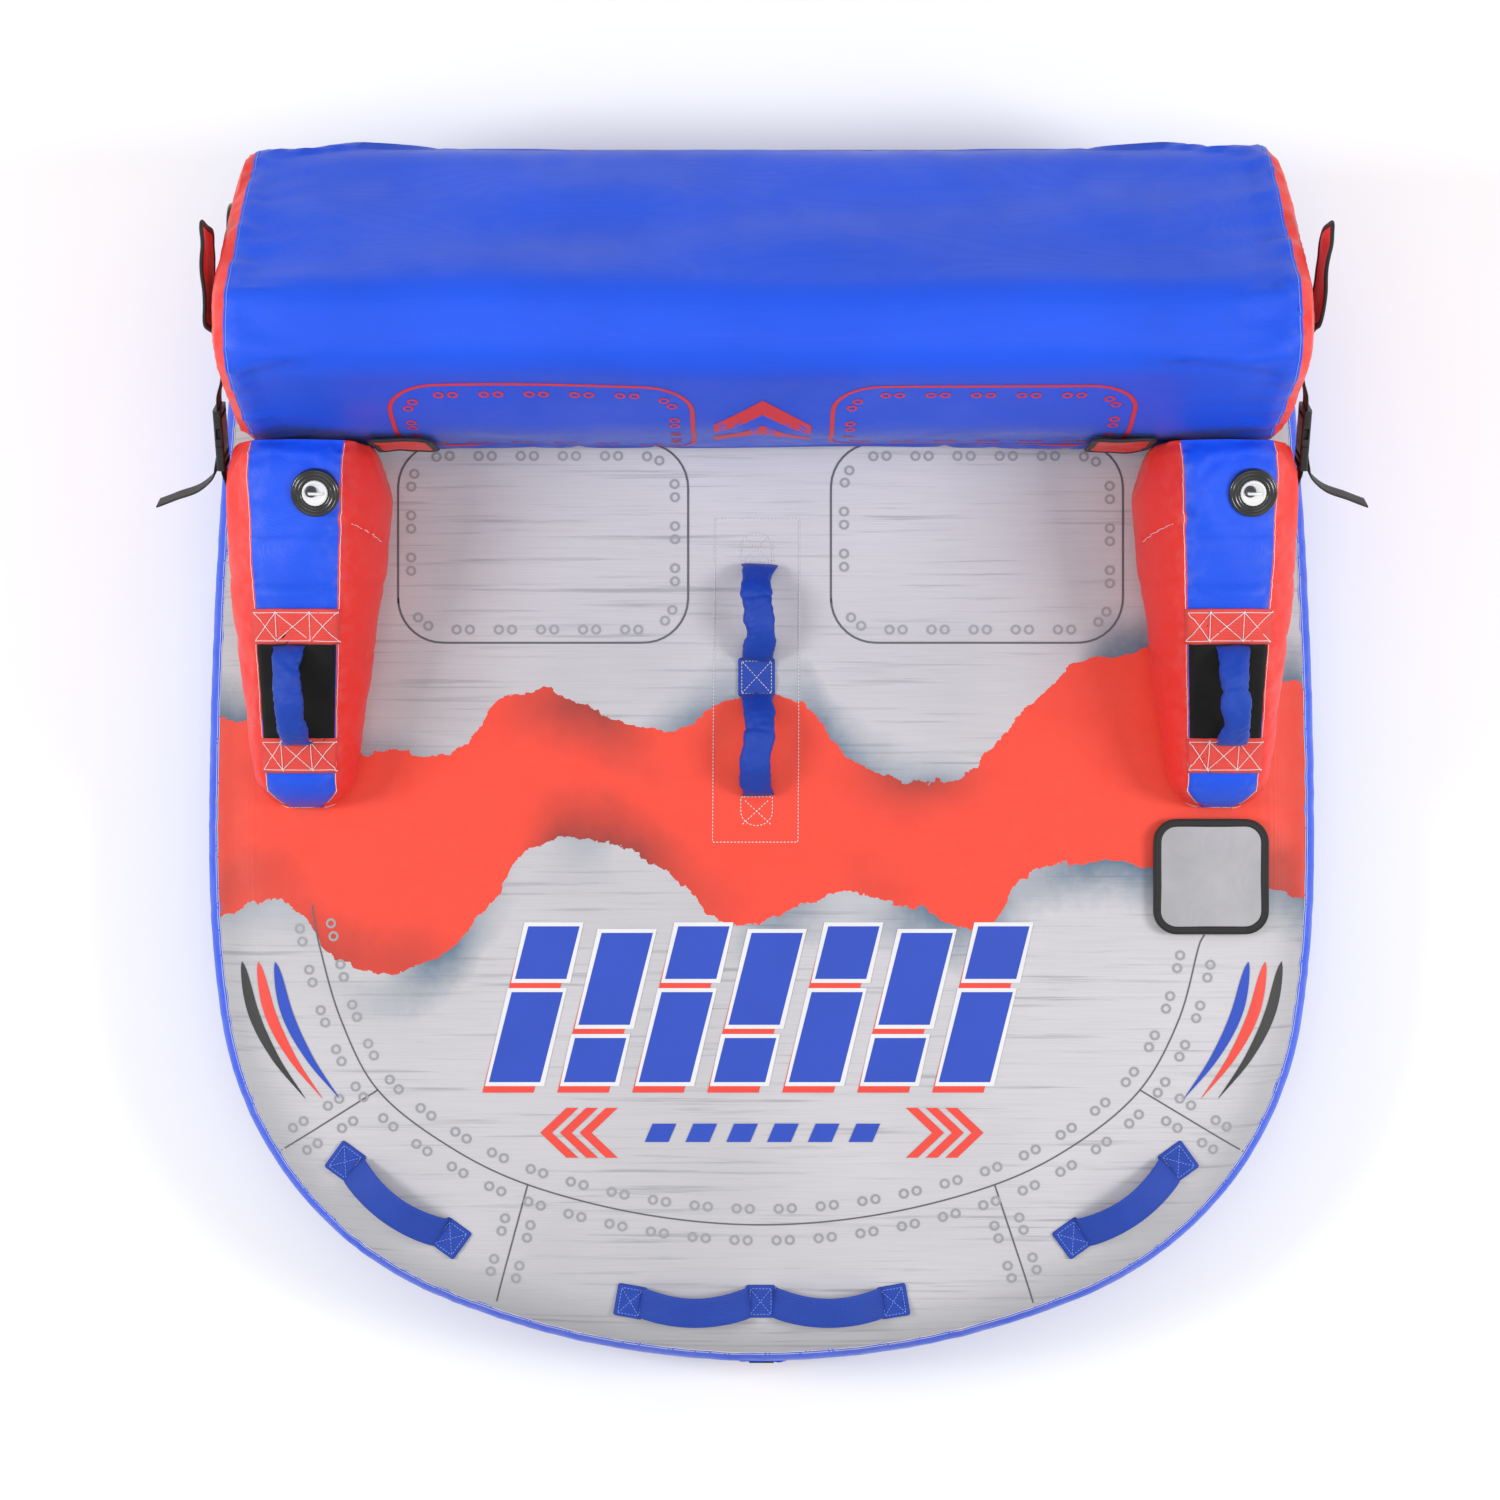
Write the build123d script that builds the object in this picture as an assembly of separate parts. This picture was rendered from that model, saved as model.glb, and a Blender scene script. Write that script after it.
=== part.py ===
from build123d import *

import os
from math import asin, atan2, cos, degrees, radians, sin

# Two-rider towable deck tube with padded arms and a strapped-on backrest.
# Frame: origin at the middle of the flat underside, +X to the rider's left when seated
# facing the nose, +Y to the backrest, +Z up. All sizes are in millimetres.

# ---- Driving dimensions -------------------------------------------------------------

# Deck planform, as tangent arcs from the nose round to the stern.
DECK_NOSE_Y = -947
DECK_ARCS = [(1297, 22.7), (560, 59.2), (1802, 8.1), (8000, 5.9), (240, 84.1)]
DECK_T = 250  # thickness of the inflated deck
DECK_ROLL = 100  # edge radius of the inflated deck
SEAM_ANGLE = 56  # where the top panel's seam sits on the rolled edge, from vertical

# Soft wall build-up.
COVER_T = 1.5  # nylon cover
WALL_GAP = 0.5  # between the cover and the bladder
BLADDER_T = 1.2  # PVC bladder
WEB_T = 2.5  # webbing
SKIN = COVER_T + WALL_GAP

# Arms: y, width, height above the deck, corner radius, of each section.
ARM_SECTIONS = [
    (452, 190, 236, 50),
    (400, 224, 258, 60),
    (215, 200, 205, 60),
    (-40, 145, 110, 45),
    (-75, 110, 60, 26),
    (-88, 70, 26, 11),
]
ARM_X_REAR, ARM_X_NOSE = 672, 688
ARM_TOP_REAR, ARM_TOP_NOSE = 140, 96  # width of the blue panel along the top
ARM_VALVE_Y, ARM_VALVE_SHIFT = 370, 31
BAND_W = 50.8  # two-inch webbing
BAND_YS = (181, -7)  # middles of the two bands across each arm

# Backrest profile above the deck: y, z, corner radius. It stands just clear of the deck.
BACK_PROFILE = [
    (455, 1, 60),
    (455, 230, 200),
    (532, 434, 70),
    (636, 434, 80),
    (892, 150, 110),
    (892, 1, 60),
]
BACK_SEAM_X = 745  # seam between the long cover and the end caps
BACK_CAP = 38  # how far the end caps stand out past the seam

# Side straps and buckles, along a line that runs back and up.
STRAP_RISE = 25  # degrees above level
BUCKLE_Y, BUCKLE_Z, BUCKLE_X = 461, 404, 795
STRAP_W = 38

# Handles.
HANDLE_X = -8
GRIP_W, GRIP_T = 40, 15
AXIS_LIFT = 16  # height of a grip's swing axis over what it is sewn to
GRIP_FOOT, STRAP_FOOT = 4, 2  # where the ends of a grip or strap are trimmed, above that axis
PATCH_T = 3  # sewn webbing patch, box-stitched
NECK = 5  # folded webbing that carries each end of a grip

# Valve, the same at each bladder.
VALVE_R, VALVE_CAP_R, VALVE_BORE_R = 35, 19, 15
VALVE_H, VALVE_STEM = 6, 22
RUN = 0.1  # running clearance

DECK_FLAP = 167
DECK_FLAP_AT = (681, -192)

os.makedirs("parts", exist_ok=True)


def save(name, *shapes):
    """Write one node, made of one or more solids."""
    solids = [solid for shape in shapes for solid in shape.solids()]
    export_step(Compound(children=solids) if len(solids) > 1 else solids[0], f"parts/{name}.step")


def mirrored(shape):
    return mirror(shape, about=Plane.YZ)


# ---- Deck ---------------------------------------------------------------------------


def deck_outline(inset):
    """Closed planform, moved inwards by inset. All arcs are convex, so each radius shrinks by it."""
    x, y, heading = 0.0, DECK_NOSE_Y + inset, 0.0
    edges = []
    for radius, turn in DECK_ARCS:
        r = radius - inset
        cx, cy = x - r * sin(heading), y + r * cos(heading)
        middle, end = heading + radians(turn) / 2, heading + radians(turn)
        points = [(x, y)] + [(cx + r * sin(h), cy - r * cos(h)) for h in (middle, end)]
        edges.append(ThreePointArc(*points))
        (x, y), heading = points[-1], end
    edges.append(Line((x, y), (0, y)))
    edges += [edge.mirror(Plane.YZ) for edge in edges]
    return make_face(Wire(edges))


def deck_cushion(inset):
    """The inflated deck's closed form, moved inwards by inset."""
    body = extrude(Pos(0, 0, inset) * deck_outline(inset), DECK_T - 2 * inset)
    faces = body.faces().sort_by(Axis.Z)
    return fillet(faces[0].edges() + faces[-1].edges(), DECK_ROLL - inset)


def slab(z_low, z_high):
    return Pos(0, 0, (z_low + z_high) / 2) * Box(2400, 2400, z_high - z_low)


def hollow(form, outer, inner):
    """A shell between two insets of a closed form."""
    return form(outer) - form(inner)


def valve_parts(place):
    """Flanged valve body and its screw cap, standing on the face at place."""
    flange = Cylinder(VALVE_R, VALVE_H, align=(Align.CENTER, Align.CENTER, Align.MIN))
    flange = fillet(flange.faces().sort_by(Axis.Z)[-1].edges(), 2)
    stem = Pos(0, 0, -VALVE_STEM / 2) * Cylinder(VALVE_BORE_R + 3, VALVE_STEM)
    seat = Pos(0, 0, 4) * Cylinder(VALVE_CAP_R + RUN, 5)
    bore = Cylinder(VALVE_BORE_R, 3 * VALVE_STEM)
    floor = Pos(0, 0, -VALVE_STEM + 1) * Cylinder(VALVE_BORE_R, 2)
    ring = flange + stem - seat - bore + floor
    disc = Pos(0, 0, 4.5) * Cylinder(VALVE_CAP_R, 5)
    disc = chamfer(disc.faces().sort_by(Axis.Z)[-1].edges(), 0.8)
    plug = Pos(0, 0, -4) * Cylinder(VALVE_BORE_R - RUN, 13)
    finger_bar = Pos(0, 0, 8.5) * Box(2 * VALVE_CAP_R - 10, 4, 4)
    return place * ring, place * (disc + plug + finger_bar)


def valve_hole(place):
    return place * Cylinder(VALVE_BORE_R + 3, 4 * VALVE_STEM)


deck_valve_place = Pos(*DECK_FLAP_AT, DECK_T)
seam_drop = DECK_ROLL * (1 - cos(radians(SEAM_ANGLE)))
deck_cover = hollow(deck_cushion, 0, COVER_T) - valve_hole(deck_valve_place)
save("deck_top_panel", deck_cover & slab(DECK_T - seam_drop, DECK_T + 50))
save("deck_side_gusset", deck_cover & slab(seam_drop, DECK_T - seam_drop))
save("deck_bottom_panel", deck_cover & slab(-50, seam_drop))
deck_bladder = hollow(deck_cushion, SKIN, SKIN + BLADDER_T) - valve_hole(deck_valve_place)
save("deck_bladder", deck_bladder)

ring, cap = valve_parts(deck_valve_place)
save("deck_valve_ring", ring)
save("deck_valve_cap", cap)

# The bound flap over the deck valve, sewn along its rear edge to a low rim.
flap_z = DECK_T + 12
rim_outer = RectangleRounded(DECK_FLAP, DECK_FLAP, 30)
rim_inner = RectangleRounded(DECK_FLAP - 24, DECK_FLAP - 24, 20)
flap_at = Pos(*DECK_FLAP_AT, 0)
save("deck_valve_pocket_rim", flap_at * Pos(0, 0, DECK_T) * extrude(rim_outer - rim_inner, 11.5))
binding = extrude(rim_outer - RectangleRounded(DECK_FLAP - 20, DECK_FLAP - 20, 20), 5)
save("deck_valve_flap", flap_at * Pos(0, 0, flap_z + 1) * extrude(offset(rim_outer, -10), 3))
save("deck_valve_flap_binding", flap_at * Pos(0, 0, flap_z) * binding)

# ---- Arms ---------------------------------------------------------------------------


def arm_x(y):
    """Middle of the arm across the deck, at y."""
    share = (ARM_SECTIONS[0][0] - y) / (ARM_SECTIONS[0][0] - ARM_SECTIONS[-1][0])
    return ARM_X_REAR + share * (ARM_X_NOSE - ARM_X_REAR)


def arm_top(y):
    """Height of the arm's top above the deck, and its slope in degrees, at y."""
    for (y0, _, h0, _), (y1, _, h1, _) in zip(ARM_SECTIONS, ARM_SECTIONS[1:]):
        if y1 <= y <= y0:
            return h1 + (h0 - h1) * (y - y1) / (y0 - y1), degrees(atan2(h0 - h1, y0 - y1))


def arm_form(inset):
    """Closed form of the arm at +X, moved inwards by inset."""
    sections = []
    last = len(ARM_SECTIONS) - 1
    for i, (y, width, height, radius) in enumerate(ARM_SECTIONS):
        y += inset * ((i == last) - (i == 0))
        plane = Plane((arm_x(y), y, DECK_T + height / 2), x_dir=(1, 0, 0), z_dir=(0, -1, 0))
        sections.append(plane * RectangleRounded(width - 2 * inset, height - 2 * inset, radius - inset))
    return loft(sections, ruled=True)


def arm_place(y, shift=0, lift=0):
    """A place on the arm's sloping top: local +Y runs up the slope, and +Z out of it."""
    height, slope = arm_top(y)
    return Pos(arm_x(y) + shift, y, DECK_T + height) * Rot(slope, 0, 0) * Pos(0, 0, lift)


def arm_top_zone():
    """The wedge that parts the blue top panel from the red sides."""
    y_rear, y_nose = ARM_SECTIONS[0][0] + 20, ARM_SECTIONS[-1][0] - 20
    half_rear, half_nose = ARM_TOP_REAR / 2, ARM_TOP_NOSE / 2
    outline = Polyline(
        (ARM_X_REAR - half_rear, y_rear),
        (ARM_X_REAR + half_rear, y_rear),
        (ARM_X_NOSE + half_nose, y_nose),
        (ARM_X_NOSE - half_nose, y_nose),
        close=True,
    )
    return Pos(0, 0, DECK_T + 12) * extrude(make_face(outline), 300)


def arched(section, chord, rise, foot):
    """A section arched up from local z = 0 along Y. Its ends are trimmed at the height foot."""
    radius = (chord**2 / 4 + rise**2) / (2 * rise)
    sweep = 2 * degrees(asin(chord / 2 / radius))
    arch = revolve(Plane.XZ * Pos(0, radius) * section, axis=Axis.X, revolution_arc=sweep)
    arch = Pos(0, 0, rise - radius) * Rot(-sweep / 2, 0, 0) * arch
    return arch & Pos(0, 0, foot + 100) * Box(2 * chord, 2 * chord, 200)


def grip_necks(ends, lift, bead_r):
    """Folded webbing under each end of a grip, up to a round bead on its swing axis, local z = lift."""
    low = PATCH_T / 2
    necks = []
    for y in ends:
        neck = Pos(0, y, (low + lift) / 2) * Box(NECK, NECK, lift - low)
        necks.append(neck + Pos(0, y, lift) * Rot(90, 0, 0) * Cylinder(bead_r, NECK))
    return necks


def arm_band(y):
    """Red webbing across the top, between the two top seams."""
    share = (ARM_SECTIONS[0][0] - y) / (ARM_SECTIONS[0][0] - ARM_SECTIONS[-1][0])
    width = ARM_TOP_REAR + share * (ARM_TOP_NOSE - ARM_TOP_REAR)
    return arm_place(y) * Pos(0, 0, PATCH_T + WEB_T / 2) * Box(width, BAND_W, WEB_T)


ARM_GRIP_Y = sum(BAND_YS) / 2
ARM_PAD_LENGTH = BAND_YS[0] - BAND_YS[1] + BAND_W
ARM_GRIP_L, ARM_GRIP_RISE, ARM_GRIP_T = 132, 36, 13
arm_pad = Pos(0, 0, PATCH_T / 2) * Box(ARM_TOP_NOSE, ARM_PAD_LENGTH, PATCH_T)
arm_pad += grip_necks((-ARM_GRIP_L / 2 + 4, ARM_GRIP_L / 2 - 4), AXIS_LIFT, GRIP_FOOT - 0.5)
arm_pad = arm_place(ARM_GRIP_Y) * arm_pad
arm_grip = arched(RectangleRounded(GRIP_W, ARM_GRIP_T, 6), ARM_GRIP_L, ARM_GRIP_RISE, GRIP_FOOT)
arm_grip = arm_place(ARM_GRIP_Y, lift=AXIS_LIFT) * arm_grip
arm_bands = [arm_band(y) for y in BAND_YS]
arm_zone = arm_top_zone()

for side, flip, shift in (("left", mirrored, -ARM_VALVE_SHIFT), ("right", lambda s: s, ARM_VALVE_SHIFT)):
    valve_place = arm_place(ARM_VALVE_Y, shift=shift)
    hole = valve_hole(valve_place)
    cover = hollow(arm_form, 0, COVER_T) - hole
    save(f"arm_{side}_top_panel", flip(cover & arm_zone))
    save(f"arm_{side}_side_panels", flip(cover - arm_zone))
    save(f"arm_{side}_bladder", flip(hollow(arm_form, SKIN, SKIN + BLADDER_T) - hole))
    save(f"arm_{side}_knuckle_pad", flip(arm_pad))
    save(f"arm_{side}_bands", *[flip(band) for band in arm_bands])
    save(f"arm_{side}_grip", flip(arm_grip))
    ring, cap = valve_parts(valve_place)
    save(f"arm_{side}_valve_ring", flip(ring))
    save(f"arm_{side}_valve_cap", flip(cap))

# Hook-and-loop flaps that stand on the arms' inner rear corners, against the backrest.
FLAP_H, FLAP_T = 150, 3
FLAP_X_IN, FLAP_X_OUT = 487, 571
flap_box = Box(FLAP_X_OUT - FLAP_X_IN, FLAP_T, FLAP_H)
arm_flap = Pos((FLAP_X_IN + FLAP_X_OUT) / 2, 450, DECK_T + 130) * flap_box
save("arm_right_flap", arm_flap)
save("arm_left_flap", mirrored(arm_flap))

# ---- Backrest -----------------------------------------------------------------------


def back_face(inset):
    """The backrest's cross-section on the YZ plane, moved inwards by inset."""
    points = [(y, DECK_T + z) for y, z, _ in BACK_PROFILE]
    face = make_face(Polyline(*points, close=True))
    for (y, z), (_, _, radius) in zip(points, BACK_PROFILE):
        corner = face.vertices().sort_by_distance((y, z, 0))[0]
        face = fillet(corner, radius)
    return Plane.YZ * (offset(face, -inset) if inset else face)


def back_form(inset):
    """Closed form of the backrest: a straight middle and two domed ends."""
    face = back_face(inset)
    middle = extrude(face, BACK_SEAM_X, both=True)
    end = Pos(BACK_SEAM_X, 0, 0) * extrude(face, BACK_CAP - inset, taper=45)
    return middle + end + mirrored(end)


back_zone = Box(2 * BACK_SEAM_X, 3000, 3000)
back_valve_place = Pos(-BACK_SEAM_X - BACK_CAP, 775, DECK_T + 120) * Rot(0, -90, 0)
back_hole = valve_hole(back_valve_place)
back_cover = hollow(back_form, 0, COVER_T) - back_hole
save("backrest_cover", back_cover & back_zone)
for side, sign in (("right", 1), ("left", -1)):
    half = Pos(sign * (BACK_SEAM_X + 200), 0, 0) * Box(400, 3000, 3000)
    save(f"backrest_end_cap_{side}", back_cover & half)
save("backrest_bladder", hollow(back_form, SKIN, SKIN + BLADDER_T) - back_hole)
ring, cap = valve_parts(back_valve_place)
save("backrest_valve_ring", ring)
save("backrest_valve_cap", cap)

# Spare hook-and-loop flaps on the end caps, sewn along their front edges.
END_FLAP_L, END_FLAP_H, END_FLAP_T = 148, 90, 3
END_FLAP_Y, END_FLAP_Z = 600, DECK_T + 285
END_FLAP_X = BACK_SEAM_X + BACK_CAP + 5
END_FLAP_SPLAY = {"right": 7, "left": 2}
for side, flip in (("right", lambda s: s), ("left", mirrored)):
    flap = Pos(0, END_FLAP_L / 2, 0) * Box(END_FLAP_T, END_FLAP_L, END_FLAP_H)
    turned = Pos(END_FLAP_X, END_FLAP_Y, END_FLAP_Z) * Rot(0, 0, -END_FLAP_SPLAY[side]) * flap
    save(f"backrest_flap_{side}", flip(turned))

# ---- Zips ---------------------------------------------------------------------------


def zip_parts(y, z, length, slider_x):
    """Zip tape with its coil on a face that looks along +Y, and the slider on the coil."""
    tape = Pos(0, y + 0.5, z) * Box(length, 1, 30)
    coil = Pos(0, y + 2, z) * Box(length - 20, 2, 5)
    stops = [Pos(s * (length / 2 - 8), y + 2, z) * Box(4, 2, 8) for s in (-1, 1)]
    body = Pos(slider_x, y + 4, z) * Box(16, 5, 13)
    tunnel = Pos(slider_x, y + 2, z) * Box(40, 2 + 2 * RUN, 5 + 2 * RUN)
    tab = Pos(slider_x - 20, y + 8, z) * Box(36, 2, 9)
    return [tape, coil] + stops, body - tunnel + tab


DECK_STERN_Y = deck_outline(0).bounding_box().max.Y
BACK_REAR_Y = BACK_PROFILE[-1][0]
zips = {"deck": (DECK_STERN_Y, DECK_T / 2, 1000, 470), "backrest": (BACK_REAR_Y, DECK_T + 84, 1200, 570)}
for name, (y, z, length, slider_x) in zips.items():
    tape, slider = zip_parts(y, z, length, slider_x)
    save(f"{name}_zip_tape", *tape)
    save(f"{name}_zip_slider", slider)

# ---- Handles on the deck ------------------------------------------------------------

# Double handle down the middle: two padded grips between three sewn feet.
CENTRE_GRIP_RISE = 42
CENTRE_GRIPS = {"rear": (137, 281), "front": (-68, 84)}
centre_feet = []
for name, (y_low, y_high) in CENTRE_GRIPS.items():
    middle, chord = (y_low + y_high) / 2, y_high - y_low
    place = Pos(HANDLE_X, middle, DECK_T + AXIS_LIFT)
    grip = arched(RectangleRounded(GRIP_W, GRIP_T, 7), chord, CENTRE_GRIP_RISE, GRIP_FOOT)
    save(f"centre_grip_{name}", place * grip)
    necks = grip_necks((y_low + 4, y_high - 4), AXIS_LIFT, GRIP_FOOT - 0.5)
    centre_feet += [Pos(HANDLE_X, 0, DECK_T) * neck for neck in necks]
rear_low, rear_high = CENTRE_GRIPS["rear"]
front_low, front_high = CENTRE_GRIPS["front"]
patch_spans = [(rear_high - 8, rear_high + 42), (front_high - 8, rear_low + 8), (front_low - 42, front_low + 8)]
centre_base = Part()
for low, high in patch_spans:
    centre_base += Pos(HANDLE_X, (low + high) / 2, DECK_T + PATCH_T / 2) * Box(52, high - low, PATCH_T)
save("centre_handle_webbing", centre_base + centre_feet)

# Flat webbing handles on the nose: middle, direction in degrees, length of the loop.
BOW_RISE, BOW_LIFT = 20, 12
BOW_HANDLES = {
    "nose_strap_left": (-101, -838, 0, 158),
    "nose_strap_right": (101, -838, 0, 158),
    "side_strap_left": (-553, -684, -36, 158),
    "side_strap_right": (553, -684, 36, 158),
}
PATCH_L = 42
bow_patches = Part()
for name, (x, y, turn, chord) in BOW_HANDLES.items():
    place = Pos(x, y, DECK_T) * Rot(0, 0, turn)
    strap = arched(Rectangle(BAND_W - 3, WEB_T), chord, BOW_RISE, STRAP_FOOT)
    save(name, place * Pos(0, 0, BOW_LIFT) * Rot(0, 0, 90) * strap)
    patch = Box(PATCH_L, BAND_W, PATCH_T, align=(Align.CENTER, Align.CENTER, Align.MIN))
    necks = grip_necks((-chord / 2, chord / 2), BOW_LIFT, STRAP_FOOT - 0.3)
    for end, neck in zip((-1, 1), necks):
        sewn = Pos(end * (chord / 2 + PATCH_L / 2 - NECK / 2), 0, 0) * patch
        bow_patches += place * (sewn + Rot(0, 0, -90) * neck)
save("bow_handle_patches", bow_patches)

# ---- Side straps and buckles --------------------------------------------------------


def strap_plane(side):
    """Local X runs up the strap and local Z across its width, from the middle of the buckle."""
    rise = radians(STRAP_RISE)
    return Plane(
        (side * BUCKLE_X, BUCKLE_Y, BUCKLE_Z), x_dir=(0, cos(rise), sin(rise)), z_dir=(0, -sin(rise), cos(rise))
    )


def ribbon(points, thickness):
    """Outline of a band of even thickness along points, with mitred bends."""
    rails = {1: [], -1: []}
    for i, (x, y) in enumerate(points):
        before, after = points[max(i - 1, 0)], points[min(i + 1, len(points) - 1)]
        a = atan2(y - before[1], x - before[0]) if i else atan2(after[1] - y, after[0] - x)
        b = atan2(after[1] - y, after[0] - x) if i < len(points) - 1 else a
        reach = thickness / 2 / cos((b - a) / 2)
        for rail in rails:
            rails[rail].append((x - rail * reach * sin((a + b) / 2), y + rail * reach * cos((a + b) / 2)))
    return make_face(Polyline(*rails[1], *reversed(rails[-1]), close=True))


def webbing(points, width, thickness=WEB_T):
    return extrude(ribbon(points, thickness), width / 2, both=True)


BUCKLE_W, BUCKLE_T = 47, 13
SOCKET_LOW, SOCKET_HIGH = -8, 46
PLUG_LOW = -46
FLAT_X = BACK_SEAM_X + BACK_CAP + 2 - BUCKLE_X  # the upper strap lies on the end cap
LOWER_X = -6  # the lower strap lies beside the arm


def buckle_socket():
    shell = Box(SOCKET_HIGH - SOCKET_LOW, BUCKLE_T, BUCKLE_W)
    shell = Pos((SOCKET_HIGH + SOCKET_LOW) / 2, 0, 0) * fillet(shell.edges().filter_by(Axis.X), 4)
    cavity = Pos(SOCKET_LOW + 15, 0, 0) * Box(34, BUCKLE_T - 5, BUCKLE_W - 8)
    windows = Pos(SOCKET_LOW + 19, 0, 0) * Box(16, BUCKLE_T - 6, BUCKLE_W + 10)
    slot = Pos(SOCKET_HIGH - 9, 0, 0) * Box(7, BUCKLE_T + 10, STRAP_W + 2)
    return shell - cavity - windows - slot


def buckle_plug():
    length = SOCKET_LOW - 1 - PLUG_LOW
    frame = Box(length, BUCKLE_T, BUCKLE_W)
    frame = Pos(PLUG_LOW + length / 2, 0, 0) * fillet(frame.edges().filter_by(Axis.X), 4)
    for x in (PLUG_LOW + 8, PLUG_LOW + 21):
        frame -= Pos(x, 0, 0) * Box(7, BUCKLE_T + 10, STRAP_W + 2)
    prongs = [Pos(SOCKET_LOW + 11, 0, z) * Box(26, BUCKLE_T - 7, 6) for z in (-15.5, 0, 15.5)]
    return frame + prongs


upper_path = [(165, FLAT_X), (90, FLAT_X), (62, 0), (SOCKET_HIGH - 7.5, 0)]
lower_path = [(PLUG_LOW + 10, 0), (PLUG_LOW - 6, 0), (PLUG_LOW - 26, LOWER_X), (PLUG_LOW - 100, LOWER_X)]
tail_path = [(PLUG_LOW + 20, 5), (PLUG_LOW + 6, 9), (PLUG_LOW - 10, 13), (-84, 46), (-106, 102)]
webbing_paths = {"upper": upper_path, "lower": lower_path, "tail": tail_path}
for side, sign in (("right", 1), ("left", -1)):
    plane = strap_plane(sign)
    for name, path in webbing_paths.items():
        # The plane's local Y looks along -X, so outwards is its negative on the right.
        save(f"strap_{name}_{side}", plane * webbing([(x, -sign * y) for x, y in path], STRAP_W))
    save(f"buckle_socket_{side}", plane * buckle_socket())
    save(f"buckle_plug_{side}", plane * buckle_plug())

# ---- Tow point ----------------------------------------------------------------------

TOW_Y, TOW_Z, TOW_BAR_R = DECK_NOSE_Y - 8, 92, 4
TOW_T, TOW_EYE_R = 8, 12
TOW_WEB_W = 38
patch = Pos(0, DECK_NOSE_Y - 1.6, 128) * Box(78, 3, 44)
tow_pivot = Pos(0, TOW_Y, TOW_Z) * Rot(0, 90, 0)
band = Pos(0, DECK_NOSE_Y - 4.4, 122) * Box(TOW_WEB_W, WEB_T, 54)
loop = tow_pivot * Cylinder(TOW_BAR_R + RUN + WEB_T, TOW_WEB_W)
save("tow_patch", patch)
save("tow_strap", band + loop - tow_pivot * Cylinder(TOW_BAR_R + RUN, 2 * TOW_WEB_W))
bar = Rot(0, 90, 0) * Cylinder(TOW_BAR_R, 58)
cheeks = [Pos(s * 27, 0, -18) * Box(6, TOW_T, 44) for s in (-1, 1)]
plate = Plane.XZ * Pos(0, -42) * (RectangleRounded(60, 52, 20) - Circle(TOW_EYE_R))
plate = extrude(plate, TOW_T / 2, both=True)
save("tow_connector", Pos(0, TOW_Y, TOW_Z) * (bar + cheeks + plate))
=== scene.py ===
from math import atan2, cos, pi, radians, sin, tan

import bpy
import numpy as np
from mathutils import Matrix, Vector
from mathutils.bvhtree import BVHTree


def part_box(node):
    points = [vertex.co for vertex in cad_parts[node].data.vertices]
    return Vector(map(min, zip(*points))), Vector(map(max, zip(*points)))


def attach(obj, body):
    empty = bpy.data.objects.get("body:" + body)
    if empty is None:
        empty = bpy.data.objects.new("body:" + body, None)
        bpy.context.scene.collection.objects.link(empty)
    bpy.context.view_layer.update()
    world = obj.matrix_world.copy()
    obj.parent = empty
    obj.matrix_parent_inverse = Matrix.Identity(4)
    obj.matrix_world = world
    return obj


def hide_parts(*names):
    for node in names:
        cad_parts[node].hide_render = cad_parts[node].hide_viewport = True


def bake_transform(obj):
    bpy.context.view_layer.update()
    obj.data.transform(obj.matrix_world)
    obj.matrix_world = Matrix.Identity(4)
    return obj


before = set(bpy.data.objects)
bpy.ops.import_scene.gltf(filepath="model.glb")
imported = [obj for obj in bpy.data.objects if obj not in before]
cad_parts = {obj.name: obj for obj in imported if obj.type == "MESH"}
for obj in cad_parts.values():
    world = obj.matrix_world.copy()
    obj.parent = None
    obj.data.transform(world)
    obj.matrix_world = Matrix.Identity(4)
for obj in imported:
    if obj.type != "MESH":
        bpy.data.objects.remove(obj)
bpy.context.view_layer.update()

# Towable tube: covers, webbing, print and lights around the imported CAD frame. Metres, +Z up.

# ---- Driving dimensions, the same as the CAD part's ---------------------------------

DECK_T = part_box("deck_top_panel")[1].z
DECK_ROLL = 0.100
DECK_NOSE_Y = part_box("deck_side_gusset")[0].y
DECK_ARCS = [(1.297, 22.7), (0.560, 59.2), (1.802, 8.1), (8.0, 5.9), (0.240, 84.1)]
SEAM_ANGLE = radians(56)

ARM_REAR_Y = 0.4495
ARM_X_REAR, ARM_X_NOSE = 0.672, 0.688
BAND_YS = (0.181, -0.007)
BAND_W = 0.0508

BACK_PROFILE = [
    (0.455, 0.001, 0.060),
    (0.455, 0.230, 0.200),
    (0.532, 0.434, 0.070),
    (0.636, 0.434, 0.080),
    (0.892, 0.150, 0.110),
    (0.892, 0.001, 0.060),
]
BACK_SEAM_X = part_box("backrest_cover")[1].x
BACK_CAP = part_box("backrest_end_cap_right")[1].x - BACK_SEAM_X

ZIP_FACE_Y = {name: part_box(f"{name}_zip_tape")[0].y - 0.0003 for name in ("deck", "backrest")}

HANDLE_X = -0.008
WEB_T = 0.0025

# ---- Small numeric helpers ----------------------------------------------------------


def unit(vectors):
    vectors = np.asarray(vectors, float)
    return vectors / np.maximum(np.linalg.norm(vectors, axis=-1, keepdims=True), 1e-12)


def box_middle(node):
    low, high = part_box(node)
    return (low + high) / 2


def smoothstep(low, high, value):
    t = np.clip((np.asarray(value, float) - low) / (high - low), 0, 1)
    return t * t * (3 - 2 * t)


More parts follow.
